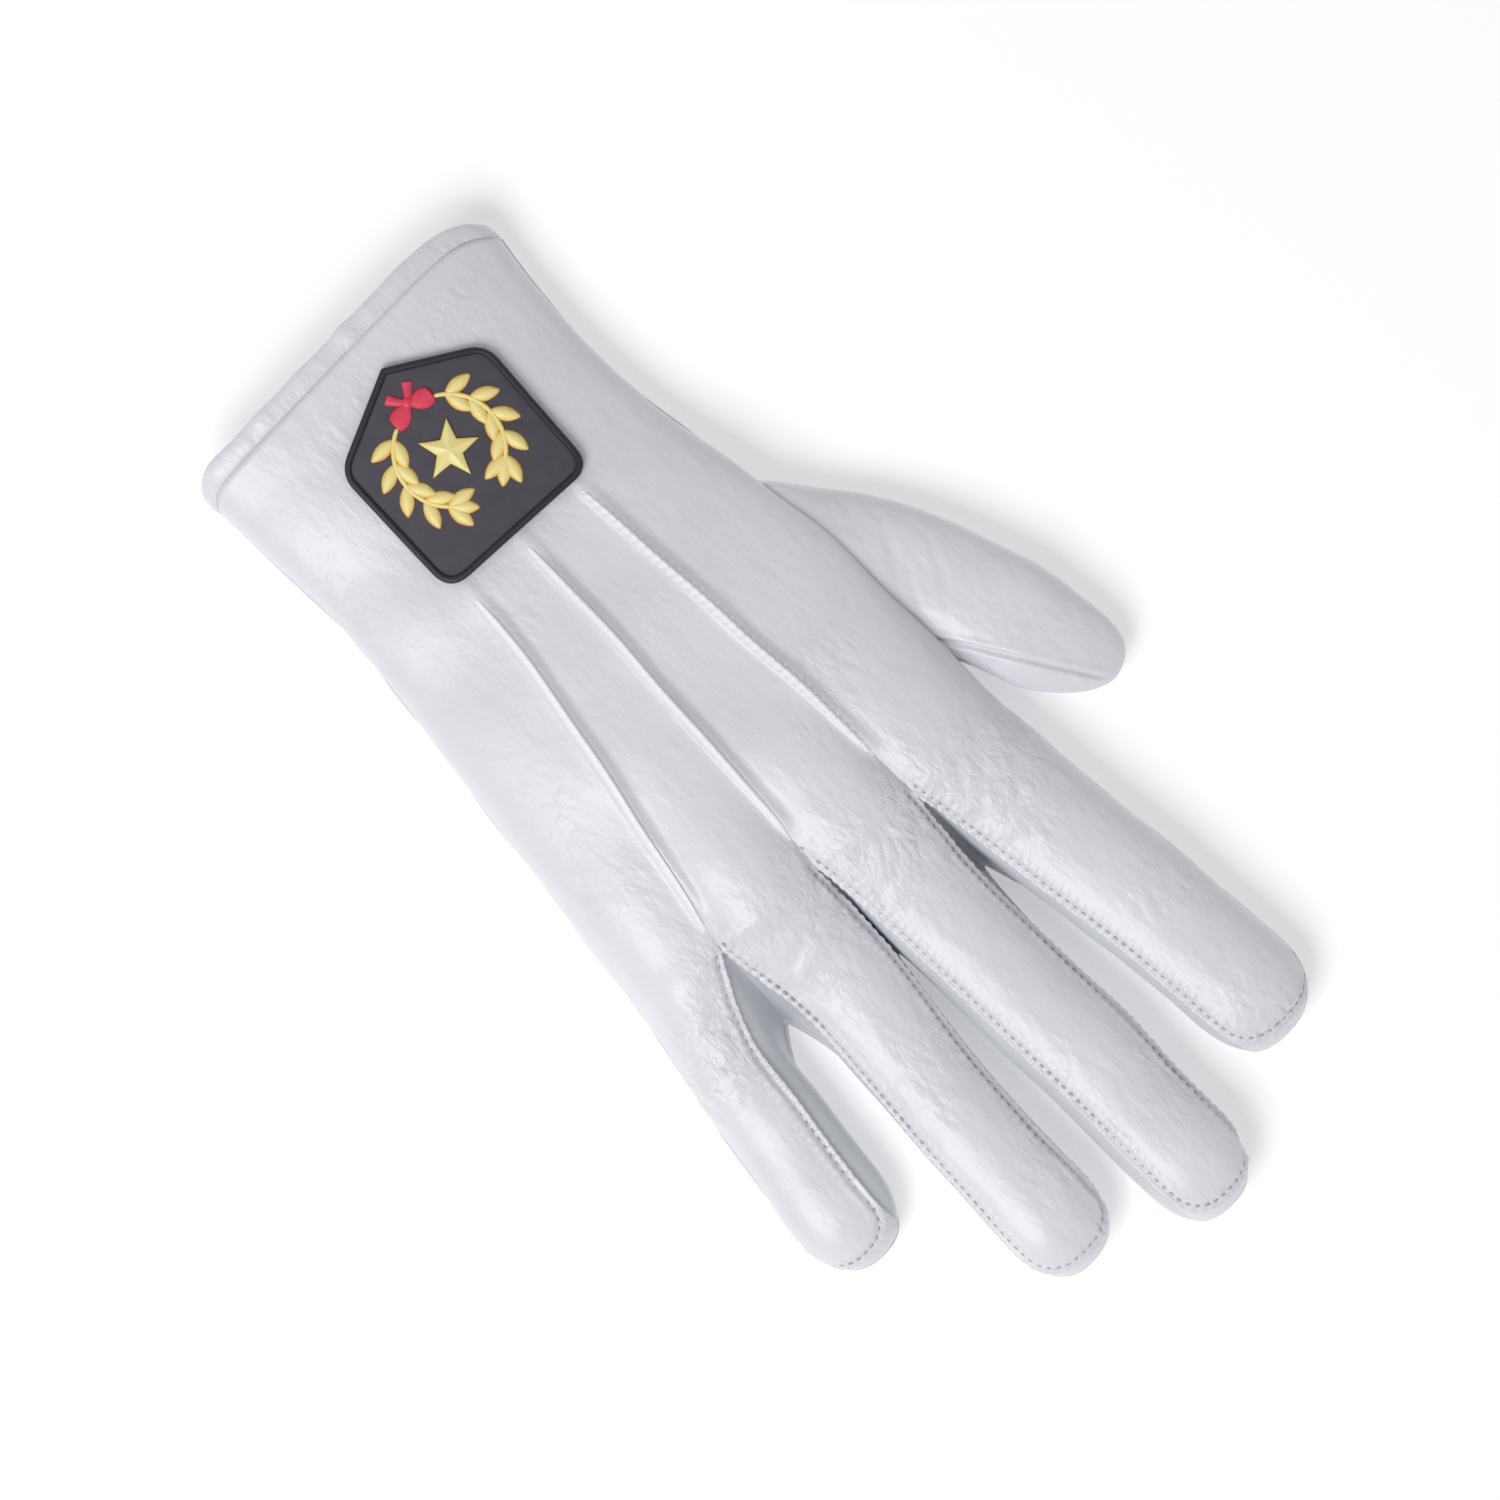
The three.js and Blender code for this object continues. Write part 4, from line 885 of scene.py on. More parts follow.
def panel_grids(pattern, under, body_steps, finger_steps, columns):
    """Strips of the back or the palm, each from the hem line to its fingertip. Across a strip
    the steps are closer at both seams: a straight line mixed with half a cosine wave."""
    even = np.linspace(0, 1, columns + 1)
    shares = mix(even, (1 - np.cos(even * math.pi)) / 2, 0.75)
    body = np.linspace(0, 1, body_steps + 1)
    grids = []
    for index in range(len(FINGERS)):
        finger = finger_rows(index, under, finger_steps, TIP_STEPS)
        parts = []
        for place, rows in ((pattern.on_body, body), (pattern.on_tongue, finger)):
            along, share = np.meshgrid(rows, shares, indexing="ij")
            parts.append(place(index, along, share, under))
        grids.append(settled(np.concatenate(parts), body_steps))
    return grids


def settled(surface, row, before=10, after=18, times=60):
    """Evens out the height along a few rows on both sides of one row: each height becomes the
    mean of itself, twice, and its two neighbours, time after time."""
    part = surface[row - before:row + after, 1:-1, 2]
    for _ in range(times):
        part[1:-1] = (part[:-2] + 2 * part[1:-1] + part[2:]) / 4
    return surface


def stitch_places(path, normals, pitch):
    """Evenly spaced places along a path, one pitch apart, with the path's direction and the
    surface's normal there."""
    length = lengths(path)
    places = np.arange(0, length[-1], pitch)
    ahead, behind = (between(places + way, length, path) for way in (pitch / 3, -pitch / 3))
    normals = unit(between(places, length, normals))
    return between(places, length, path), unit(ahead - behind), normals


def stitches(points, directions, normals):
    """Small beads of thread: one coarse ellipsoid, turned to each place by its direction,
    side and normal. Returns the grids for make_piece."""
    theta = np.linspace(0, math.pi, 6)[:, None]
    phi = np.linspace(0, 2 * math.pi, 7)[None, :]
    bead = stack(
        np.cos(theta) * STITCH_LENGTH / 2 + 0 * phi,
        np.sin(theta) * np.cos(phi) * STITCH_THICKNESS / 2,
        np.sin(theta) * np.sin(phi) * STITCH_THICKNESS / 2,
    )
    sides = unit(np.cross(normals, directions))
    ups = unit(np.cross(directions, sides))
    turned = points[:, None, None]
    for k, axis in enumerate((directions, sides, ups)):
        turned = turned + bead[None, ..., k:k + 1] * axis[:, None, None]
    return [(surface, 0.0) for surface in turned]


def feed(tree, node, inputs):
    """Sets a node's inputs, each to a constant or to another node's output."""
    for name, value in inputs.items():
        if isinstance(value, bpy.types.NodeSocket):
            tree.links.new(value, node.inputs[name])
        else:
            node.inputs[name].default_value = value


def add_node(tree, kind, inputs):
    """Adds one node with its inputs."""
    made = tree.nodes.new(kind)
    feed(tree, made, inputs)
    return made


def new_material(name):
    """Empty node material with its shader; returns the material, tree and shader."""
    material = bpy.data.materials.new(name)
    material.use_nodes = True
    return material, material.node_tree, material.node_tree.nodes["Principled BSDF"]


def noise(tree, scale, detail, rough, stretch=(1, 1, 1)):
    """Noise on the piece's own coordinates, stretched by a Mapping node."""
    places = add_node(tree, "ShaderNodeTexCoord", {}).outputs["Object"]
    mapping = add_node(tree, "ShaderNodeMapping", {"Vector": places, "Scale": stretch})
    inputs = {"Scale": scale, "Detail": detail, "Roughness": rough}
    inputs["Vector"] = mapping.outputs["Vector"]
    return add_node(tree, "ShaderNodeTexNoise", inputs).outputs["Fac"]


def spread(tree, value, low, high):
    """Maps a value between 0 and 1 to one between low and high."""
    inputs = {"Value": value, "To Min": low, "To Max": high}
    return add_node(tree, "ShaderNodeMapRange", inputs).outputs["Result"]


def arithmetic(tree, operation, *values):
    """Math node on one or two values."""
    made = tree.nodes.new("ShaderNodeMath")
    made.operation = operation
    feed(tree, made, dict(enumerate(values)))
    return made.outputs[0]


def stored_share(tree):
    """The share that make_piece keeps at each corner."""
    made = tree.nodes.new("ShaderNodeAttribute")
    made.attribute_name = "share"
    return made.outputs["Fac"]


def ramp(tree, value, stops):
    """Colour ramp through (place, colour) stops."""
    made = add_node(tree, "ShaderNodeValToRGB", {"Fac": value})
    elements = made.color_ramp.elements
    while len(elements) < len(stops):
        elements.new(0.5)
    for element, (place, colour) in zip(elements, stops):
        element.position = place
        element.color = (*colour, 1)
    return made.outputs["Color"]


def bump(tree, height, distance, strength, normal=None):
    """Bump from a height, over another bump where one is given."""
    inputs = {"Height": height, "Distance": distance, "Strength": strength}
    if normal is not None:
        inputs["Normal"] = normal
    return add_node(tree, "ShaderNodeBump", inputs).outputs["Normal"]


def shade(colour, factor):
    """Colour times a factor, kept below 1."""
    return tuple(min(part * factor, 1.0) for part in colour)


def leather_material(name, colour):
    """White glove leather: soft mottling, fine grain, faint wrinkles, crinkles as strong as
    the piece's share, and a satin face."""
    material, tree, shader = new_material(name)
    mottle = noise(tree, 38, 4, 0.6)
    stops = [(0.3, shade(colour, 0.965)), (0.5, colour), (0.72, shade(colour, 1.02))]
    grain = bump(tree, noise(tree, 1500, 3, 0.55), 0.035 * MM, 0.8)
    wrinkles = bump(tree, noise(tree, 170, 3, 0.55, (1.5, 0.6, 1)), 0.5 * MM, 0.8, grain)
    folds = arithmetic(tree, "SUBTRACT", noise(tree, 210, 3, 0.5, (1.25, 0.8, 1)), 0.5)
    folds = arithmetic(tree, "MULTIPLY", arithmetic(tree, "ABSOLUTE", folds), stored_share(tree))
    feed(tree, shader, {
        "Base Color": ramp(tree, mottle, stops),
        "Roughness": spread(tree, mottle, 0.33, 0.43),
        "Normal": bump(tree, folds, 1.3 * MM, 1.0, wrinkles),
        "Specular IOR Level": 0.5,
        "Coat Weight": 0.3,
        "Coat Roughness": 0.24,
    })
    return material


def plain_material(name, colour, rough, scale, depth):
    """Moulded or spun finish: colour that varies softly on noise, and a fine bump."""
    material, tree, shader = new_material(name)
    stops = [(0.3, shade(colour, 0.88)), (0.7, shade(colour, 1.12))]
    feed(tree, shader, {
        "Base Color": ramp(tree, noise(tree, scale, 4, 0.6), stops),
        "Roughness": rough,
        "Normal": bump(tree, noise(tree, scale * 6, 2, 0.5), depth, 0.6),
    })
    return material


def gold_material(name, colour):
    """Cast gold: orange in its low parts as painted shade and cream on its ridges as painted
    highlight, by the height share and a little noise."""
    material, tree, shader = new_material(name)
    # Noise on the height share, so the painted shade and highlight vary a little
    shade_noise = spread(tree, noise(tree, 500, 3, 0.6), -0.35, 0.35)
    level = arithmetic(tree, "ADD", stored_share(tree), shade_noise)
    # Orange low stop: painted shade in the hollows; cream high stop: painted highlight on the
    # ridges
    low = (colour[0] * 0.9, colour[1] * 0.62, colour[2] * 0.45)
    high = (colour[0], min(colour[1] * 1.08, 1), colour[2] * 1.35)
    feed(tree, shader, {
        "Base Color": ramp(tree, level, [(0.15, low), (0.5, colour), (0.95, high)]),
        "Roughness": 0.4,
        "Normal": bump(tree, noise(tree, 2400, 2, 0.5), 0.05 * MM, 0.6),
    })
    return material


def glove_material(kind):
    """The finish of one kind of piece, made once."""
    name = "glove_" + kind
    if name in bpy.data.materials:
        return bpy.data.materials[name]
    colour = tuple(getattr(bpy.context.scene.glove_colours, kind))
    if kind in FINISHES:
        return plain_material(name, colour, *FINISHES[kind])
    return (gold_material if kind == "gold" else leather_material)(name, colour)


def number_property(name, description, default, **kind):
    """Number with a name, a description and a default."""
    return FloatProperty(name=name, description=description, default=default, **kind)


def length_property(*words):
    """Length in metres, shown in the scene's units."""
    return number_property(*words, min=0, unit="LENGTH", precision=5)


def colour_property(name, description, default):
    """Linear colour."""
    return FloatVectorProperty(
        name=name, description=description, default=default, subtype="COLOR", size=3, min=0, max=1
    )


class GloveSizes(PropertyGroup):
    """Sizes of the glove and its stitching."""

    body_length: length_property("Body length", "From the hem line to the longest tip", 267 * MM)
    knuckle_width: length_property("Knuckle width", "Across the knuckles", 104.5 * MM)
    hand_height: length_property("Hand height", "From the palm to the top of the back", 24 * MM)
    leather: length_property("Leather", "Thickness of the leather", 1.2 * MM)
    stitch_pitch: length_property("Stitch pitch", "From one stitch to the next", 2.2 * MM)
    stitch_inset: length_property("Stitch inset", "From a panel's edge to its stitches", 1.3 * MM)
    stitch_depth: length_property("Stitch depth", "How deep the thread is drawn in", 0.55 * MM)
    point_width: length_property("Point width", "Width of the raised crests of the tucks", 1.8 * MM)
    point_rise: length_property("Point rise", "Height of the raised crests of the tucks", 0.85 * MM)
    badge_width: length_property("Badge width", "Across the badge", 42.5 * MM)
    badge_length: length_property("Badge length", "From the badge's point to its far edge", 46 * MM)
    badge_thickness: length_property("Badge thickness", "Of the badge's plate", 1.2 * MM)


class GloveColours(PropertyGroup):
    """Colours of the glove's pieces."""

    leather: colour_property("Leather", "White leather", (0.795, 0.795, 0.85))
    # Crest: lighter than the leather, a painted highlight on the tucks' crests where they catch the
    # light
    crest: colour_property("Crest", "Leather drawn tight over the tucks", (0.96, 0.96, 0.99))
    # Gusset: darker than the leather, painted shade of the fingers' sides between them
    gusset: colour_property("Gusset", "Thinner leather between the fingers", (0.68, 0.705, 0.74))
    # Thread: grey, darker than the white leather; the thread is real, its grey tone is painted
    # shade of the needle holes
    thread: colour_property("Thread", "Thread of the seams", (0.49, 0.49, 0.52))
    badge_field: colour_property("Badge field", "Plate of the badge", (0.068, 0.063, 0.082))
    badge_rim: colour_property("Badge rim", "Rim round the badge", (0.022, 0.02, 0.027))
    gold: colour_property("Gold", "Wreath and star", (0.98, 0.8, 0.28))
    red: colour_property("Red", "Ribbon", (0.8, 0.055, 0.11))


class GloveStage(PropertyGroup):
    """Camera, floor and lights."""

    view_width: length_property("View width", "Width of the picture at the glove", 326.1 * MM)
    view_turn: number_property(
        "View turn", "Turn of the picture's right side from +X", math.radians(134), subtype="ANGLE"
    )
    lens: number_property("Lens", "Focal length", 200, unit="CAMERA")
    key_power: number_property("Key light", "Power of the large light", 21.3, unit="POWER")
    fill_power: number_property("Fill light", "Power of the weak light", 0.2, unit="POWER")
    sky: number_property("Sky", "Strength of the light from all round", 0.42)


class GLOVE_OT_back(Operator):
    """Back of the glove: four strips with their fingers, seam grooves and creases"""

    bl_idname = "glove.back"
    bl_label = "Back"

    def execute(self, context):
        sizes = context.scene.glove_sizes
        pattern = Pattern(sizes)
        grids = []
        for index, surface in enumerate(panel_grids(pattern, False, *BACK_STEPS)):
            path, _ = seam_path(pattern, index, sizes.stitch_inset)
            distance, along = on_path(surface, path)
            relief = crease_relief(surface, BACK_CREASES, pattern.width, pattern.length)
            relief += seam_relief(distance, along, sizes.stitch_pitch, sizes.stitch_depth)
            relief += back_relief(pattern, surface)
            crinkled = crinkle_share(pattern, surface) + 0.55 * bell(distance, 2.4 * MM)
            surface[..., 2] += tuck_relief(pattern, surface)
            grids.append((surface, relief, np.minimum(crinkled, 1.3)))
        make_piece("back_leather", grids, "leather", ["back"], flipped=False,
                   wall=pattern.leather)
        return {"FINISHED"}


class GLOVE_OT_palm(Operator):
    """Palm of the glove, open where the thumb is sewn in"""

    bl_idname = "glove.palm"
    bl_label = "Palm"

    def execute(self, context):
        pattern = Pattern(context.scene.glove_sizes)
        grids = [
            (surface, ripple(surface, 8, 24 * MM, 0.3 * MM))
            for surface in panel_grids(pattern, True, *PALM_STEPS)
        ]
        make_piece("palm_leather", grids, "leather", ["palm"], wall=pattern.leather,
                   drop=lambda middles: pattern.inside_thumb(middles, pattern.leather))
        return {"FINISHED"}


class GLOVE_OT_thumb(Operator):
    """Thumb: a leaning tube that closes to a round tip, open inside the hand"""

    bl_idname = "glove.thumb"
    bl_label = "Thumb"

    def execute(self, context):
        pattern = Pattern(context.scene.glove_sizes)
        even, tip, columns = THUMB_STEPS
        rows = np.concatenate([np.linspace(0, THUMB_TIP, even), round_steps(THUMB_TIP, tip)])
        at, degrees = np.meshgrid(rows, np.linspace(0, 360, columns), indexing="ij")
        surface = pattern.on_thumb(at, degrees)
        relief = crease_relief(surface, THUMB_CREASES, pattern.width, pattern.length)
        relief += seam_line_relief(surface)
        relief *= smooth(0.0, 0.25, np.sin(np.radians(degrees)))
        relief += ripple(surface * [1, 0.6, 1], 37, 3.6 * MM, 0.06 * MM)
        relief += ripple(surface, 11, 22 * MM, 0.3 * MM) * smooth(1, 0.8, at)
        make_piece("thumb_leather", [(surface, relief, 0.22)], "leather", ["thumb"],
                   wall=pattern.leather,
                   drop=lambda middles: pattern.inside_hand(middles, 0.6 * MM))
        return {"FINISHED"}


class GLOVE_OT_gussets(Operator):
    """Gussets between the fingers, each down one finger, across the web and up the next"""

    bl_idname = "glove.gussets"
    bl_label = "Gussets"

    def execute(self, context):
        pattern = Pattern(context.scene.glove_sizes)
        *steps, columns = GUSSET_STEPS
        for index, name in enumerate(("index_middle", "middle_ring", "ring_little")):
            rows = []
            for finger, right in ((index, True), (index + 1, False)):
                places = np.concatenate([[0], finger_rows(finger, False, *steps)[1:-1]])
                along, share = np.meshgrid(places, np.linspace(0, 1, columns), indexing="ij")
                side = pattern.on_gusset(finger, right, along, share)
                rows.append(side[::-1] if right else side[1:])
            surface = np.concatenate(rows)
            surface[..., 2] = np.maximum(surface[..., 2], GUSSET_FLOOR)
            relief = ripple(surface, 14 + index, 16 * MM, 0.25 * MM) - GUSSET_INSET
            # The gussets take the darker gusset colour: painted shade of the sides between the
            # fingers
            make_piece("gusset_leather_" + name, [(surface, relief)], "gusset",
                       ["gusset_" + name], wall=pattern.leather * 0.8)
        return {"FINISHED"}


class GLOVE_OT_hem(Operator):
    """Hem round the mouth of the cuff: a rounded section carried round the opening"""

    bl_idname = "glove.hem"
    bl_label = "Hem"

    def execute(self, context):
        pattern = Pattern(context.scene.glove_sizes)
        loop, out = cuff_loop(pattern, HEM_STEPS)
        phi = np.linspace(0, 2 * math.pi, 29)
        back = HEM_DEPTH * 0.47 + HEM_DEPTH * 0.53 * bent(np.cos(phi), HEM_FULLNESS)
        level = HEM_PUFF - HEM_THICKNESS / 2
        level = level + HEM_THICKNESS / 2 * bent(np.sin(phi), HEM_FULLNESS)
        surface = loop[:, None] + out[:, None] * level[None, :, None]
        surface[..., 1] -= back[None, :]
        relief = ripple(surface, 21, 14 * MM, 0.2 * MM)
        stitched = np.cos(2 * math.pi * np.arange(HEM_STEPS + 1) / 4)[:, None] ** 2
        row = bell(back - 0.6 * MM, 0.8 * MM) * (np.sin(phi) > 0)
        relief -= 0.25 * MM * stitched * row[None, :]
        relief += ripple(surface * [1, 0.35, 1], 23, 6 * MM, 0.16 * MM)
        make_piece("hem_leather", [(surface, relief, 0.45)], "leather", ["cuff_hem"])
        return {"FINISHED"}


def cuff_loop(pattern, count):
    """Line round the cuff's mouth with its outward normals: over the back and under the palm,
    with even steps of arc length."""
    share = (1 - np.cos(np.linspace(0, math.pi, 400))) / 2
    zero = np.zeros_like(share)
    x = mix(pattern.across("left", 0.0), pattern.across("right", 0.0), share)
    line = np.concatenate([pattern.on_back(x, zero), pattern.on_palm(x, zero)[-2::-1]])
    length = lengths(line)
    loop = between(np.linspace(0, length[-1], count + 1), length, line)
    loop[-1] = loop[0]
    around = np.roll(loop[:-1], -1, axis=0) - np.roll(loop[:-1], 1, axis=0)
    around = np.concatenate([around, around[:1]])
    return loop, unit(stack(-around[:, 2], 0, around[:, 0]))


def beside_line(pattern, line, y, aside):
    """Points of the back at given distances from a dividing line: on the strip to its right
    where they are above zero, else on the strip to its left."""
    along = np.broadcast_to(y / pattern.crotch(line, False)[1], aside.shape)
    sides = []
    for strip, edge, step in ((line - 1, 1.0, -EDGE_STEP), (line, 0.0, EDGE_STEP)):

        def place(share, strip=strip):
            return pattern.on_body(strip, along, share, False)

        share = beside_edge(place, np.full(aside.shape, edge), step, np.abs(aside))
        sides.append(place(share))
    return np.where((aside > 0)[..., None], sides[1], sides[0])


class GLOVE_OT_points(Operator):
    """Three raised tucks on the back: half rounds along the dividing lines that taper away"""

    bl_idname = "glove.points"
    bl_label = "Points"

    def execute(self, context):
        sizes = context.scene.glove_sizes
        pattern = Pattern(sizes)
        y = mix(POINT_START, POINT_END, np.linspace(0, 1, 420)) * pattern.length
        taper = 0.1 + 0.9 * tuck_share(y, pattern.length)[1]
        bead = np.abs(np.cos(math.pi * y / sizes.stitch_pitch)) ** 0.6
        phi = np.linspace(0, 2 * math.pi, 25)
        aside, crest = np.cos(phi) / 2, bent(np.sin(phi), 2.3)
        crest = np.where(crest > 0, crest, 1.4 * crest)
        for line, name in TUCKS.items():
            swell = 1 + (0.75 if name == "index" else 0.12) * (bead - 0.75)
            sway = tuck_line(pattern, line, y) - pattern.across(LINES[line]["column"], y)
            aim = sway + 0.25 * sizes.point_width * swell
            across = aim[:, None] + aside[None, :] * (sizes.point_width * taper * swell)[:, None]
            surface = beside_line(pattern, line, y[:, None], across)
            up = tuck_relief(pattern, surface) + back_relief(pattern, surface)
            up += crest[None, :] * (sizes.point_rise * taper * swell)[:, None]
            surface[..., 2] += up - 0.7 * MM * (1 - taper[:, None])
            ends = [np.broadcast_to(row.mean(axis=0), row.shape)[None]
                    for row in (surface[0], surface[-1])]
            surface = np.concatenate([ends[0], surface, ends[1]])
            # The crests take the lighter crest colour: a painted highlight
            make_piece("point_leather_" + name, [(surface, 0.0)], "crest", ["point_" + name])
        return {"FINISHED"}


class GLOVE_OT_stitches(Operator):
    """Rows of stitches along the fingers' seams and round their tips"""

    bl_idname = "glove.stitches"
    bl_label = "Stitches"

    def execute(self, context):
        sizes = context.scene.glove_sizes
        pattern = Pattern(sizes)
        for index, finger in enumerate(FINGERS):
            path, lifted = seam_path(pattern, index, sizes.stitch_inset)
            points, directions, normals = stitch_places(path, lifted, sizes.stitch_pitch)
            points = points - normals * sizes.stitch_depth * 0.9
            grids = stitches(points, directions, normals)
            # The thread's grey is partly painted shade of the needle holes
            make_piece("stitches_" + finger["name"], grids, "thread", [])
        return {"FINISHED"}


def badge_outline(pattern, inset, arc_steps=10, side_steps=14):
    """Outline of the badge moved in by an inset: straight sides joined by quadratic arcs at
    the corners. Returns points in the badge's own plane, the first repeated last."""
    rows = np.array(BADGE_CORNERS)
    corners = rows[:, :2] * np.array([pattern.badge_width, pattern.badge_length])
    radii = rows[:, 2] * MM
    before = unit(np.roll(corners, 1, axis=0) - corners)
    after = unit(np.roll(corners, -1, axis=0) - corners)
    middle = unit(before + after)
    sine = np.abs(middle[:, 0] * after[:, 1] - middle[:, 1] * after[:, 0])
    moved = corners + middle * (inset / sine)[:, None]
    radius = np.maximum(radii - inset, 0.3 * MM)[:, None]
    start, end = moved + before * radius, moved + after * radius
    t = np.linspace(0, 1, arc_steps + 1)[None, :, None]
    curve = (1 - t) ** 2 * start[:, None] + 2 * t * (1 - t) * moved[:, None] + t**2 * end[:, None]
    s = (np.arange(1, side_steps) / side_steps)[None, :, None]
    straight = mix(end[:, None], np.roll(start, -1, axis=0)[:, None], s)
    outline = np.concatenate([curve, straight], axis=1).reshape(-1, 2)
    return np.concatenate([outline, outline[:1]])


def badge_ring(pattern, inset, level, share=1.0):
    """Outline of the badge at a level, shrunk to a share about its middle."""
    outline = badge_outline(pattern, inset) * share
    return pattern.on_badge(outline[:, 0], outline[:, 1], level)


class GLOVE_OT_badge(Operator):
    """Badge on the back of the hand: its plate and its raised rim"""

    bl_idname = "glove.badge"
    bl_label = "Badge"

    def execute(self, context):
        pattern = Pattern(context.scene.glove_sizes)
        thick = pattern.badge_thickness
        rows = [badge_ring(pattern, PLATE_INSET, thick, share) for share in np.linspace(0, 1, 16)]
        for inset, level in ((0.1, 0.92), (0, 0.75), (0, 0.1), (0.1, 0)):
            rows.append(badge_ring(pattern, inset * MM, thick * level))
        rows += [badge_ring(pattern, PLATE_INSET, 0.0, share) for share in np.linspace(0.96, 0, 6)]
        make_piece("badge_plate", [(np.array(rows), 0.0)], "badge_field", ["badge_base"])
        rows = []
        for turn in np.linspace(0, 2 * math.pi, 15):
            inset = RIM_WIDTH / 2 * (1 - bent(math.cos(turn), 2.6))
            level = RIM_HEIGHT * max(bent(math.sin(turn), 2.4), 0)
            rows.append(badge_ring(pattern, inset, thick - 0.1 * MM + level))
        make_piece("badge_border", [(np.array(rows), 0.0)], "badge_rim", ["badge_rim"],
                   flipped=False)
        return {"FINISHED"}


def petal(line, half, rise, ridge, sides=17):
    """Closed flat-bottomed tube along a line in the badge's plane: at each place its height is
    an arch of the share across, sharp for a low ridge number. Returns across, along, level."""
    tangent = unit(np.gradient(line, axis=0))
    side = np.stack([-tangent[:, 1], tangent[:, 0]], -1)
    angle = np.linspace(0, 2 * math.pi, sides)
    aside = np.cos(angle)
    top = np.where(np.sin(angle) > 0, arch(aside, ridge), 0)
    plan = line[:, None] + side[:, None] * (half[:, None] * aside)[..., None]
    return np.concatenate([plan, (rise[:, None] * top)[..., None]], axis=-1)


def closed(count):
    """Ones, with a zero at each end, to close a tube to a point."""
    ends = np.ones(count)
    ends[[0, -1]] = 0
    return ends


def leaf_surface(root, heading, long, wide):
    """Pointed leaf: half width as a sine of the length to the power 0.8, with a sharp ridge."""
    u = np.linspace(0, 1, 15)
    aim = np.array([math.cos(heading), math.sin(heading)])
    line = root + np.outer(u * long - 0.4 * MM, aim)
    half = wide / 2 * np.sin(math.pi * u) ** 0.8
    return petal(line, half, MOTIF_RISE * np.sin(math.pi * u) ** 0.5, 1.2, 13)


def star_surface(radius):
    """Faceted star: rings of its outline, that fall straight from the middle to the edge."""
    corner = np.arange(11)
    angle = corner / 10 * 2 * math.pi + math.pi / 2
    reach = radius * np.where(corner % 2 == 0, 1, 0.42)
    outline = np.stack([reach * np.cos(angle), reach * np.sin(angle)], -1)
    outline = between(np.arange(0, 10.001, 0.25), corner, outline)
    even = np.linspace(0, 1, 7)
    shares = np.concatenate([even, [1, 0]])
    levels = np.concatenate([MOTIF_RISE * mix(1.5, 0.45, even), [0, 0]])
    plan = outline[None] * shares[:, None, None]
    level = np.broadcast_to(levels[:, None], plan.shape[:2])
    return np.concatenate([plan, level[..., None]], axis=-1)


def ribbon_surfaces(pattern):
    """Two loops, two tails and a knot, each a low rounded form along its own line."""
    wide, long = pattern.badge_width * 0.26, pattern.badge_length * 0.13
    middle = np.array([0, -0.298 * pattern.badge_length])
    u = np.linspace(0, 1, 19)
    ends = closed(19)
    parts = []
    for side in (-1, 1):
        loop = np.stack([side * 0.5 * wide * u, long * (0.02 + 0.3 * np.sin(math.pi * u / 2))], -1)
        half = long * (0.1 + 0.3 * np.sin(math.pi * u * 0.8)) * ends
        parts.append(petal(middle + loop, half, 0.8 * MM * ends, 2))
        tail = np.stack([side * 0.28 * wide * u**0.8, -long * 0.62 * u], -1)
        half = long * mix(0.12, 0.22, u) * ends
        parts.append(petal(middle + tail, half, 0.6 * MM * ends, 2))
    knot = np.stack([0.13 * wide * (2 * u - 1), np.zeros(19)], -1)
    round_off = arch(2 * u - 1, 2)
    parts.append(petal(middle + knot, long * 0.24 * round_off, 1.1 * MM * round_off, 2))
    return parts


class GLOVE_OT_motif(Operator):
    """Motif of the badge: two branches of leaves, a star and a tied ribbon"""

    bl_idname = "glove.motif"
    bl_label = "Motif"

    def execute(self, context):
        pattern = Pattern(context.scene.glove_sizes)
        wide = pattern.badge_width
        radius, leaf_long, leaf_wide = wide * 0.287, wide * 0.174, wide * 0.08

        def laid(flat):
            """Form on the plate, with its height as the share that sets the gold's painted shade
            and highlight.
            """
            level = pattern.badge_thickness + flat[..., 2]
            surface = pattern.on_badge(flat[..., 0], flat[..., 1], level)
            return surface, 0.0, flat[..., 2] / MOTIF_RISE

        for side, name in ((-1, "left"), (1, "right")):
            turn = np.radians(np.linspace(-66, 64, 40))
            line = np.stack([side * radius * np.cos(turn), radius * np.sin(turn)], -1)
            half = 0.55 * MM * (0.35 + 0.65 * arch(np.linspace(-1, 1, 40), 8)) * closed(40)
            grids = [laid(petal(line, half, 0.7 * MOTIF_RISE * closed(40), 2))]
            for leaf in range(5):
                turn = np.radians(mix(-62, 62, (leaf + 0.4) / 5))
                root = np.array([side * radius * np.cos(turn), radius * np.sin(turn)])
                for lean in (-0.62, 0.62, 0.0)[:3 if leaf == 4 else 2]:
                    heading = turn + math.pi / 2 + lean
                    heading = heading if side > 0 else math.pi - heading
                    grids.append(laid(leaf_surface(root, heading, leaf_long, leaf_wide)))
            make_piece("wreath_gold_" + name, grids, "gold", ["wreath_" + name],
                       flipped=False)
        make_piece("star_gold", [laid(star_surface(wide * 0.165))], "gold", ["star"])
        ribbon = [laid(part) for part in ribbon_surfaces(pattern)]
        make_piece("ribbon_red", ribbon, "red", ["ribbon_tie"], flipped=False)
        return {"FINISHED"}


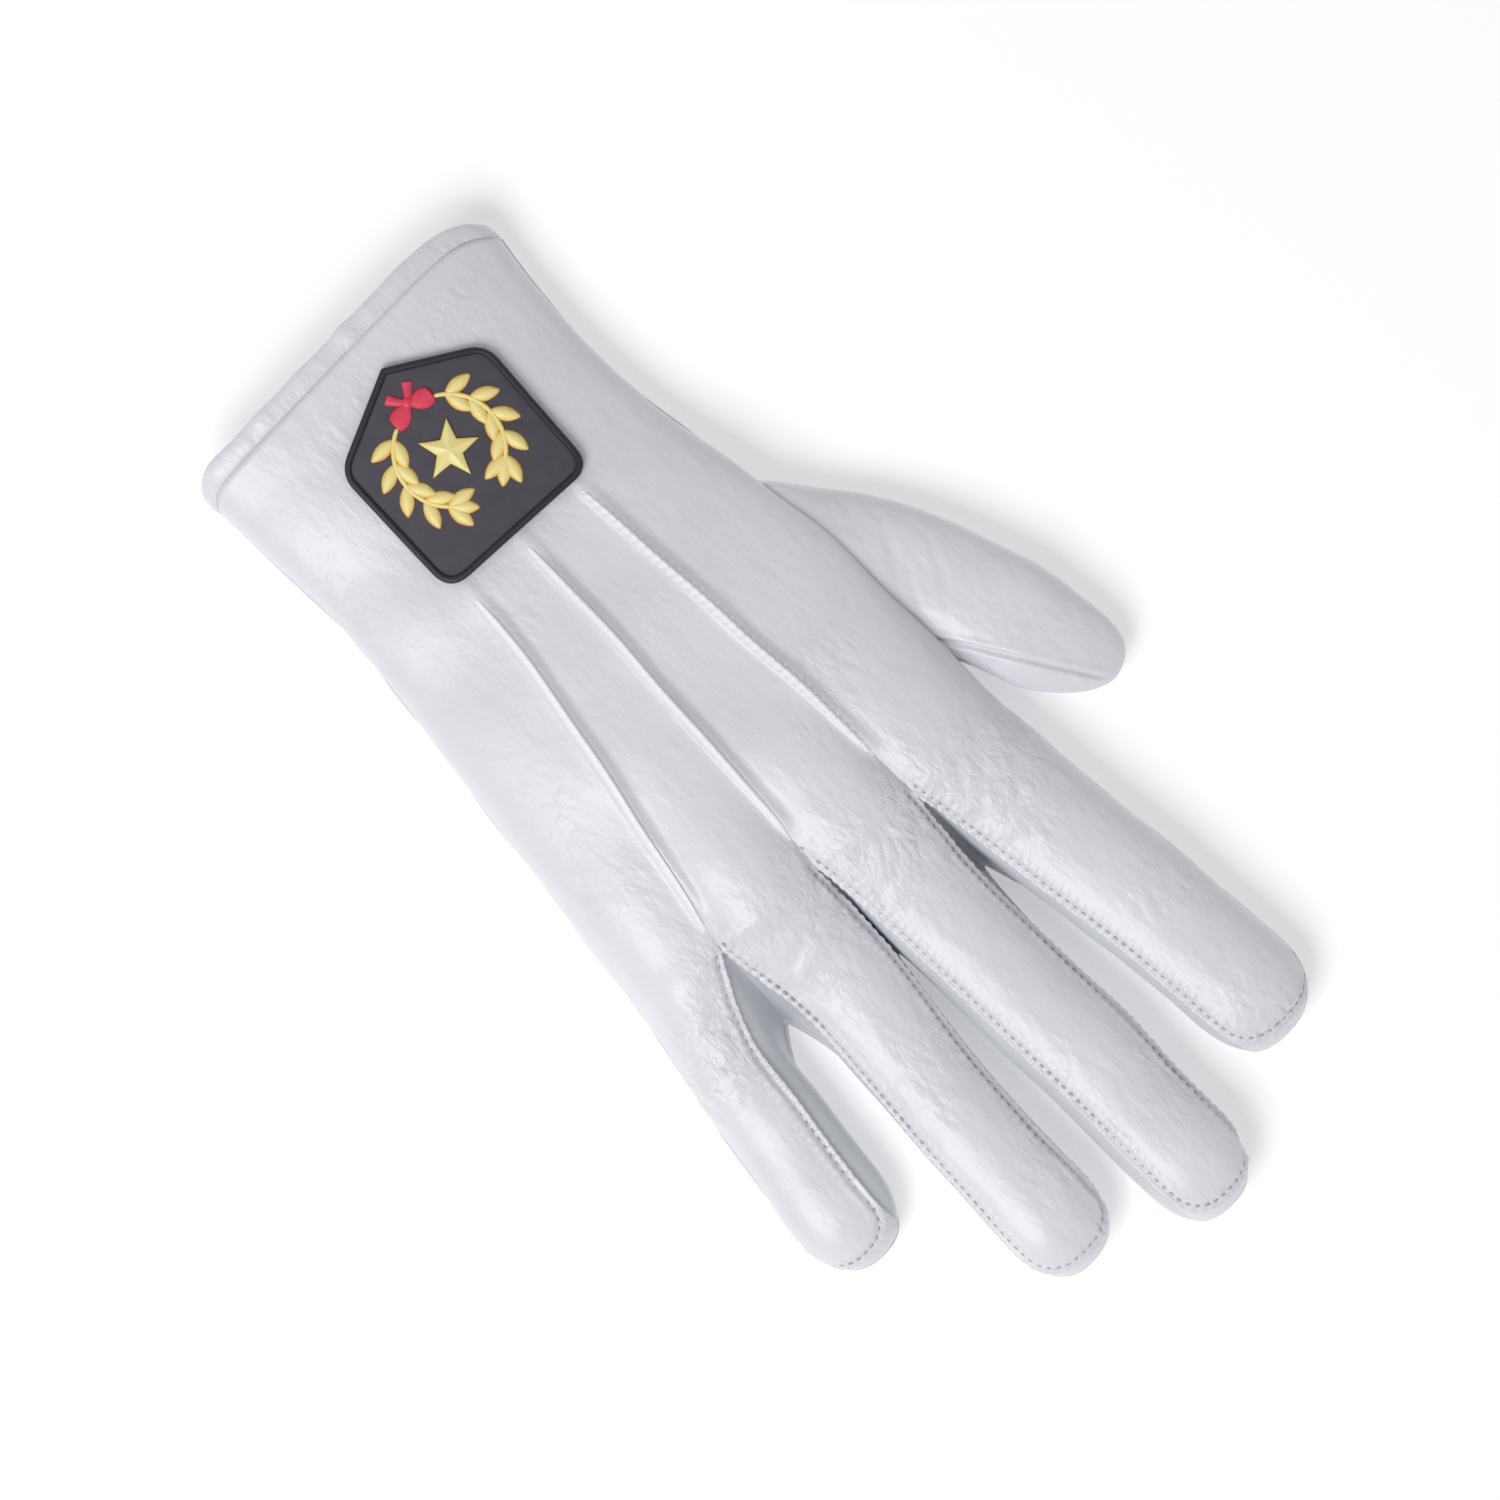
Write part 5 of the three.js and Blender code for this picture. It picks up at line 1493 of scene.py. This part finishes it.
class GLOVE_OT_stage(Operator):
    """Camera from above, white floor and soft lights"""

    bl_idname = "glove.stage"
    bl_label = "Stage"

    def execute(self, context):
        scene, stage = context.scene, context.scene.glove_stage
        scene.view_settings.view_transform = "Standard"
        camera = bpy.data.cameras.new("camera")
        camera.lens = stage.lens
        camera.sensor_width = SENSOR_WIDTH
        distance = stage.view_width * camera.lens / camera.sensor_width
        camera.clip_end = distance * 4
        scene.camera = add_object("camera", camera)
        scene.camera.location = Vector(VIEW_TARGET) + Vector((0, 0, distance))
        scene.camera.rotation_euler = (0, 0, stage.view_turn)
        floor = bpy.data.meshes.new("floor")
        corners = [(x * FLOOR_REACH, y * FLOOR_REACH, 0) for x, y in FLOOR_CORNERS]
        floor.from_pydata(corners, [], [(0, 1, 2, 3)])
        material, tree, shader = new_material("floor_white")
        feed(tree, shader, FLOOR_FINISH)
        floor.materials.append(material)
        add_object("floor", floor)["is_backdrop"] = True
        for name, place, size, power in (
            ("key_light", (1.15, 0.2, 1.66), 1.1, stage.key_power),
            ("fill_light", (-0.5, -0.5, 0.9), 0.9, stage.fill_power),
        ):
            lamp = bpy.data.lights.new(name, "AREA")
            lamp.size = size
            lamp.energy = power
            light = add_object(name, lamp)
            light.location = place
            light.rotation_euler = (-Vector(place)).to_track_quat("-Z", "Y").to_euler()
            light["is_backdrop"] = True
        world = bpy.data.worlds.new("soft_white")
        world.use_nodes = True
        background = world.node_tree.nodes["Background"]
        feed(world.node_tree, background, {"Color": WHITE, "Strength": stage.sky})
        scene.world = world
        return {"FINISHED"}


OPERATORS = (
    GLOVE_OT_back,
    GLOVE_OT_palm,
    GLOVE_OT_thumb,
    GLOVE_OT_gussets,
    GLOVE_OT_hem,
    GLOVE_OT_points,
    GLOVE_OT_stitches,
    GLOVE_OT_badge,
    GLOVE_OT_motif,
    GLOVE_OT_stage,
)
SETTINGS = {"glove_sizes": GloveSizes, "glove_colours": GloveColours, "glove_stage": GloveStage}


class GLOVE_PT_sidebar(Panel):
    """Lists the glove's pieces and sizes"""

    bl_idname = "GLOVE_PT_sidebar"
    bl_label = "Parade glove"
    bl_space_type = "VIEW_3D"
    bl_region_type = "UI"
    bl_category = "Glove"

    def draw(self, context):
        for operator in OPERATORS:
            self.layout.operator(operator.bl_idname)
        for setting in SETTINGS:
            group = getattr(context.scene, setting)
            box = self.layout.box()
            for name in group.bl_rna.properties.keys():
                if name not in ("rna_type", "name"):
                    box.prop(group, name)


CLASSES = (*SETTINGS.values(), *OPERATORS, GLOVE_PT_sidebar)


def register():
    for cls in CLASSES:
        bpy.utils.register_class(cls)
    for setting, group in SETTINGS.items():
        setattr(bpy.types.Scene, setting, PointerProperty(type=group))


def unregister():
    for setting in SETTINGS:
        delattr(bpy.types.Scene, setting)
    for cls in reversed(CLASSES):
        bpy.utils.unregister_class(cls)


def main():
    """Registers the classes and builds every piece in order."""
    register()
    for operator in OPERATORS:
        group, name = operator.bl_idname.split(".")
        getattr(getattr(bpy.ops, group), name)()
    boxes = {"cad": CAD_BOX, "visual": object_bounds()}
    lists = {name: [list(corner) for corner in box] for name, box in boxes.items()}


if __name__ == "__main__":
    main()
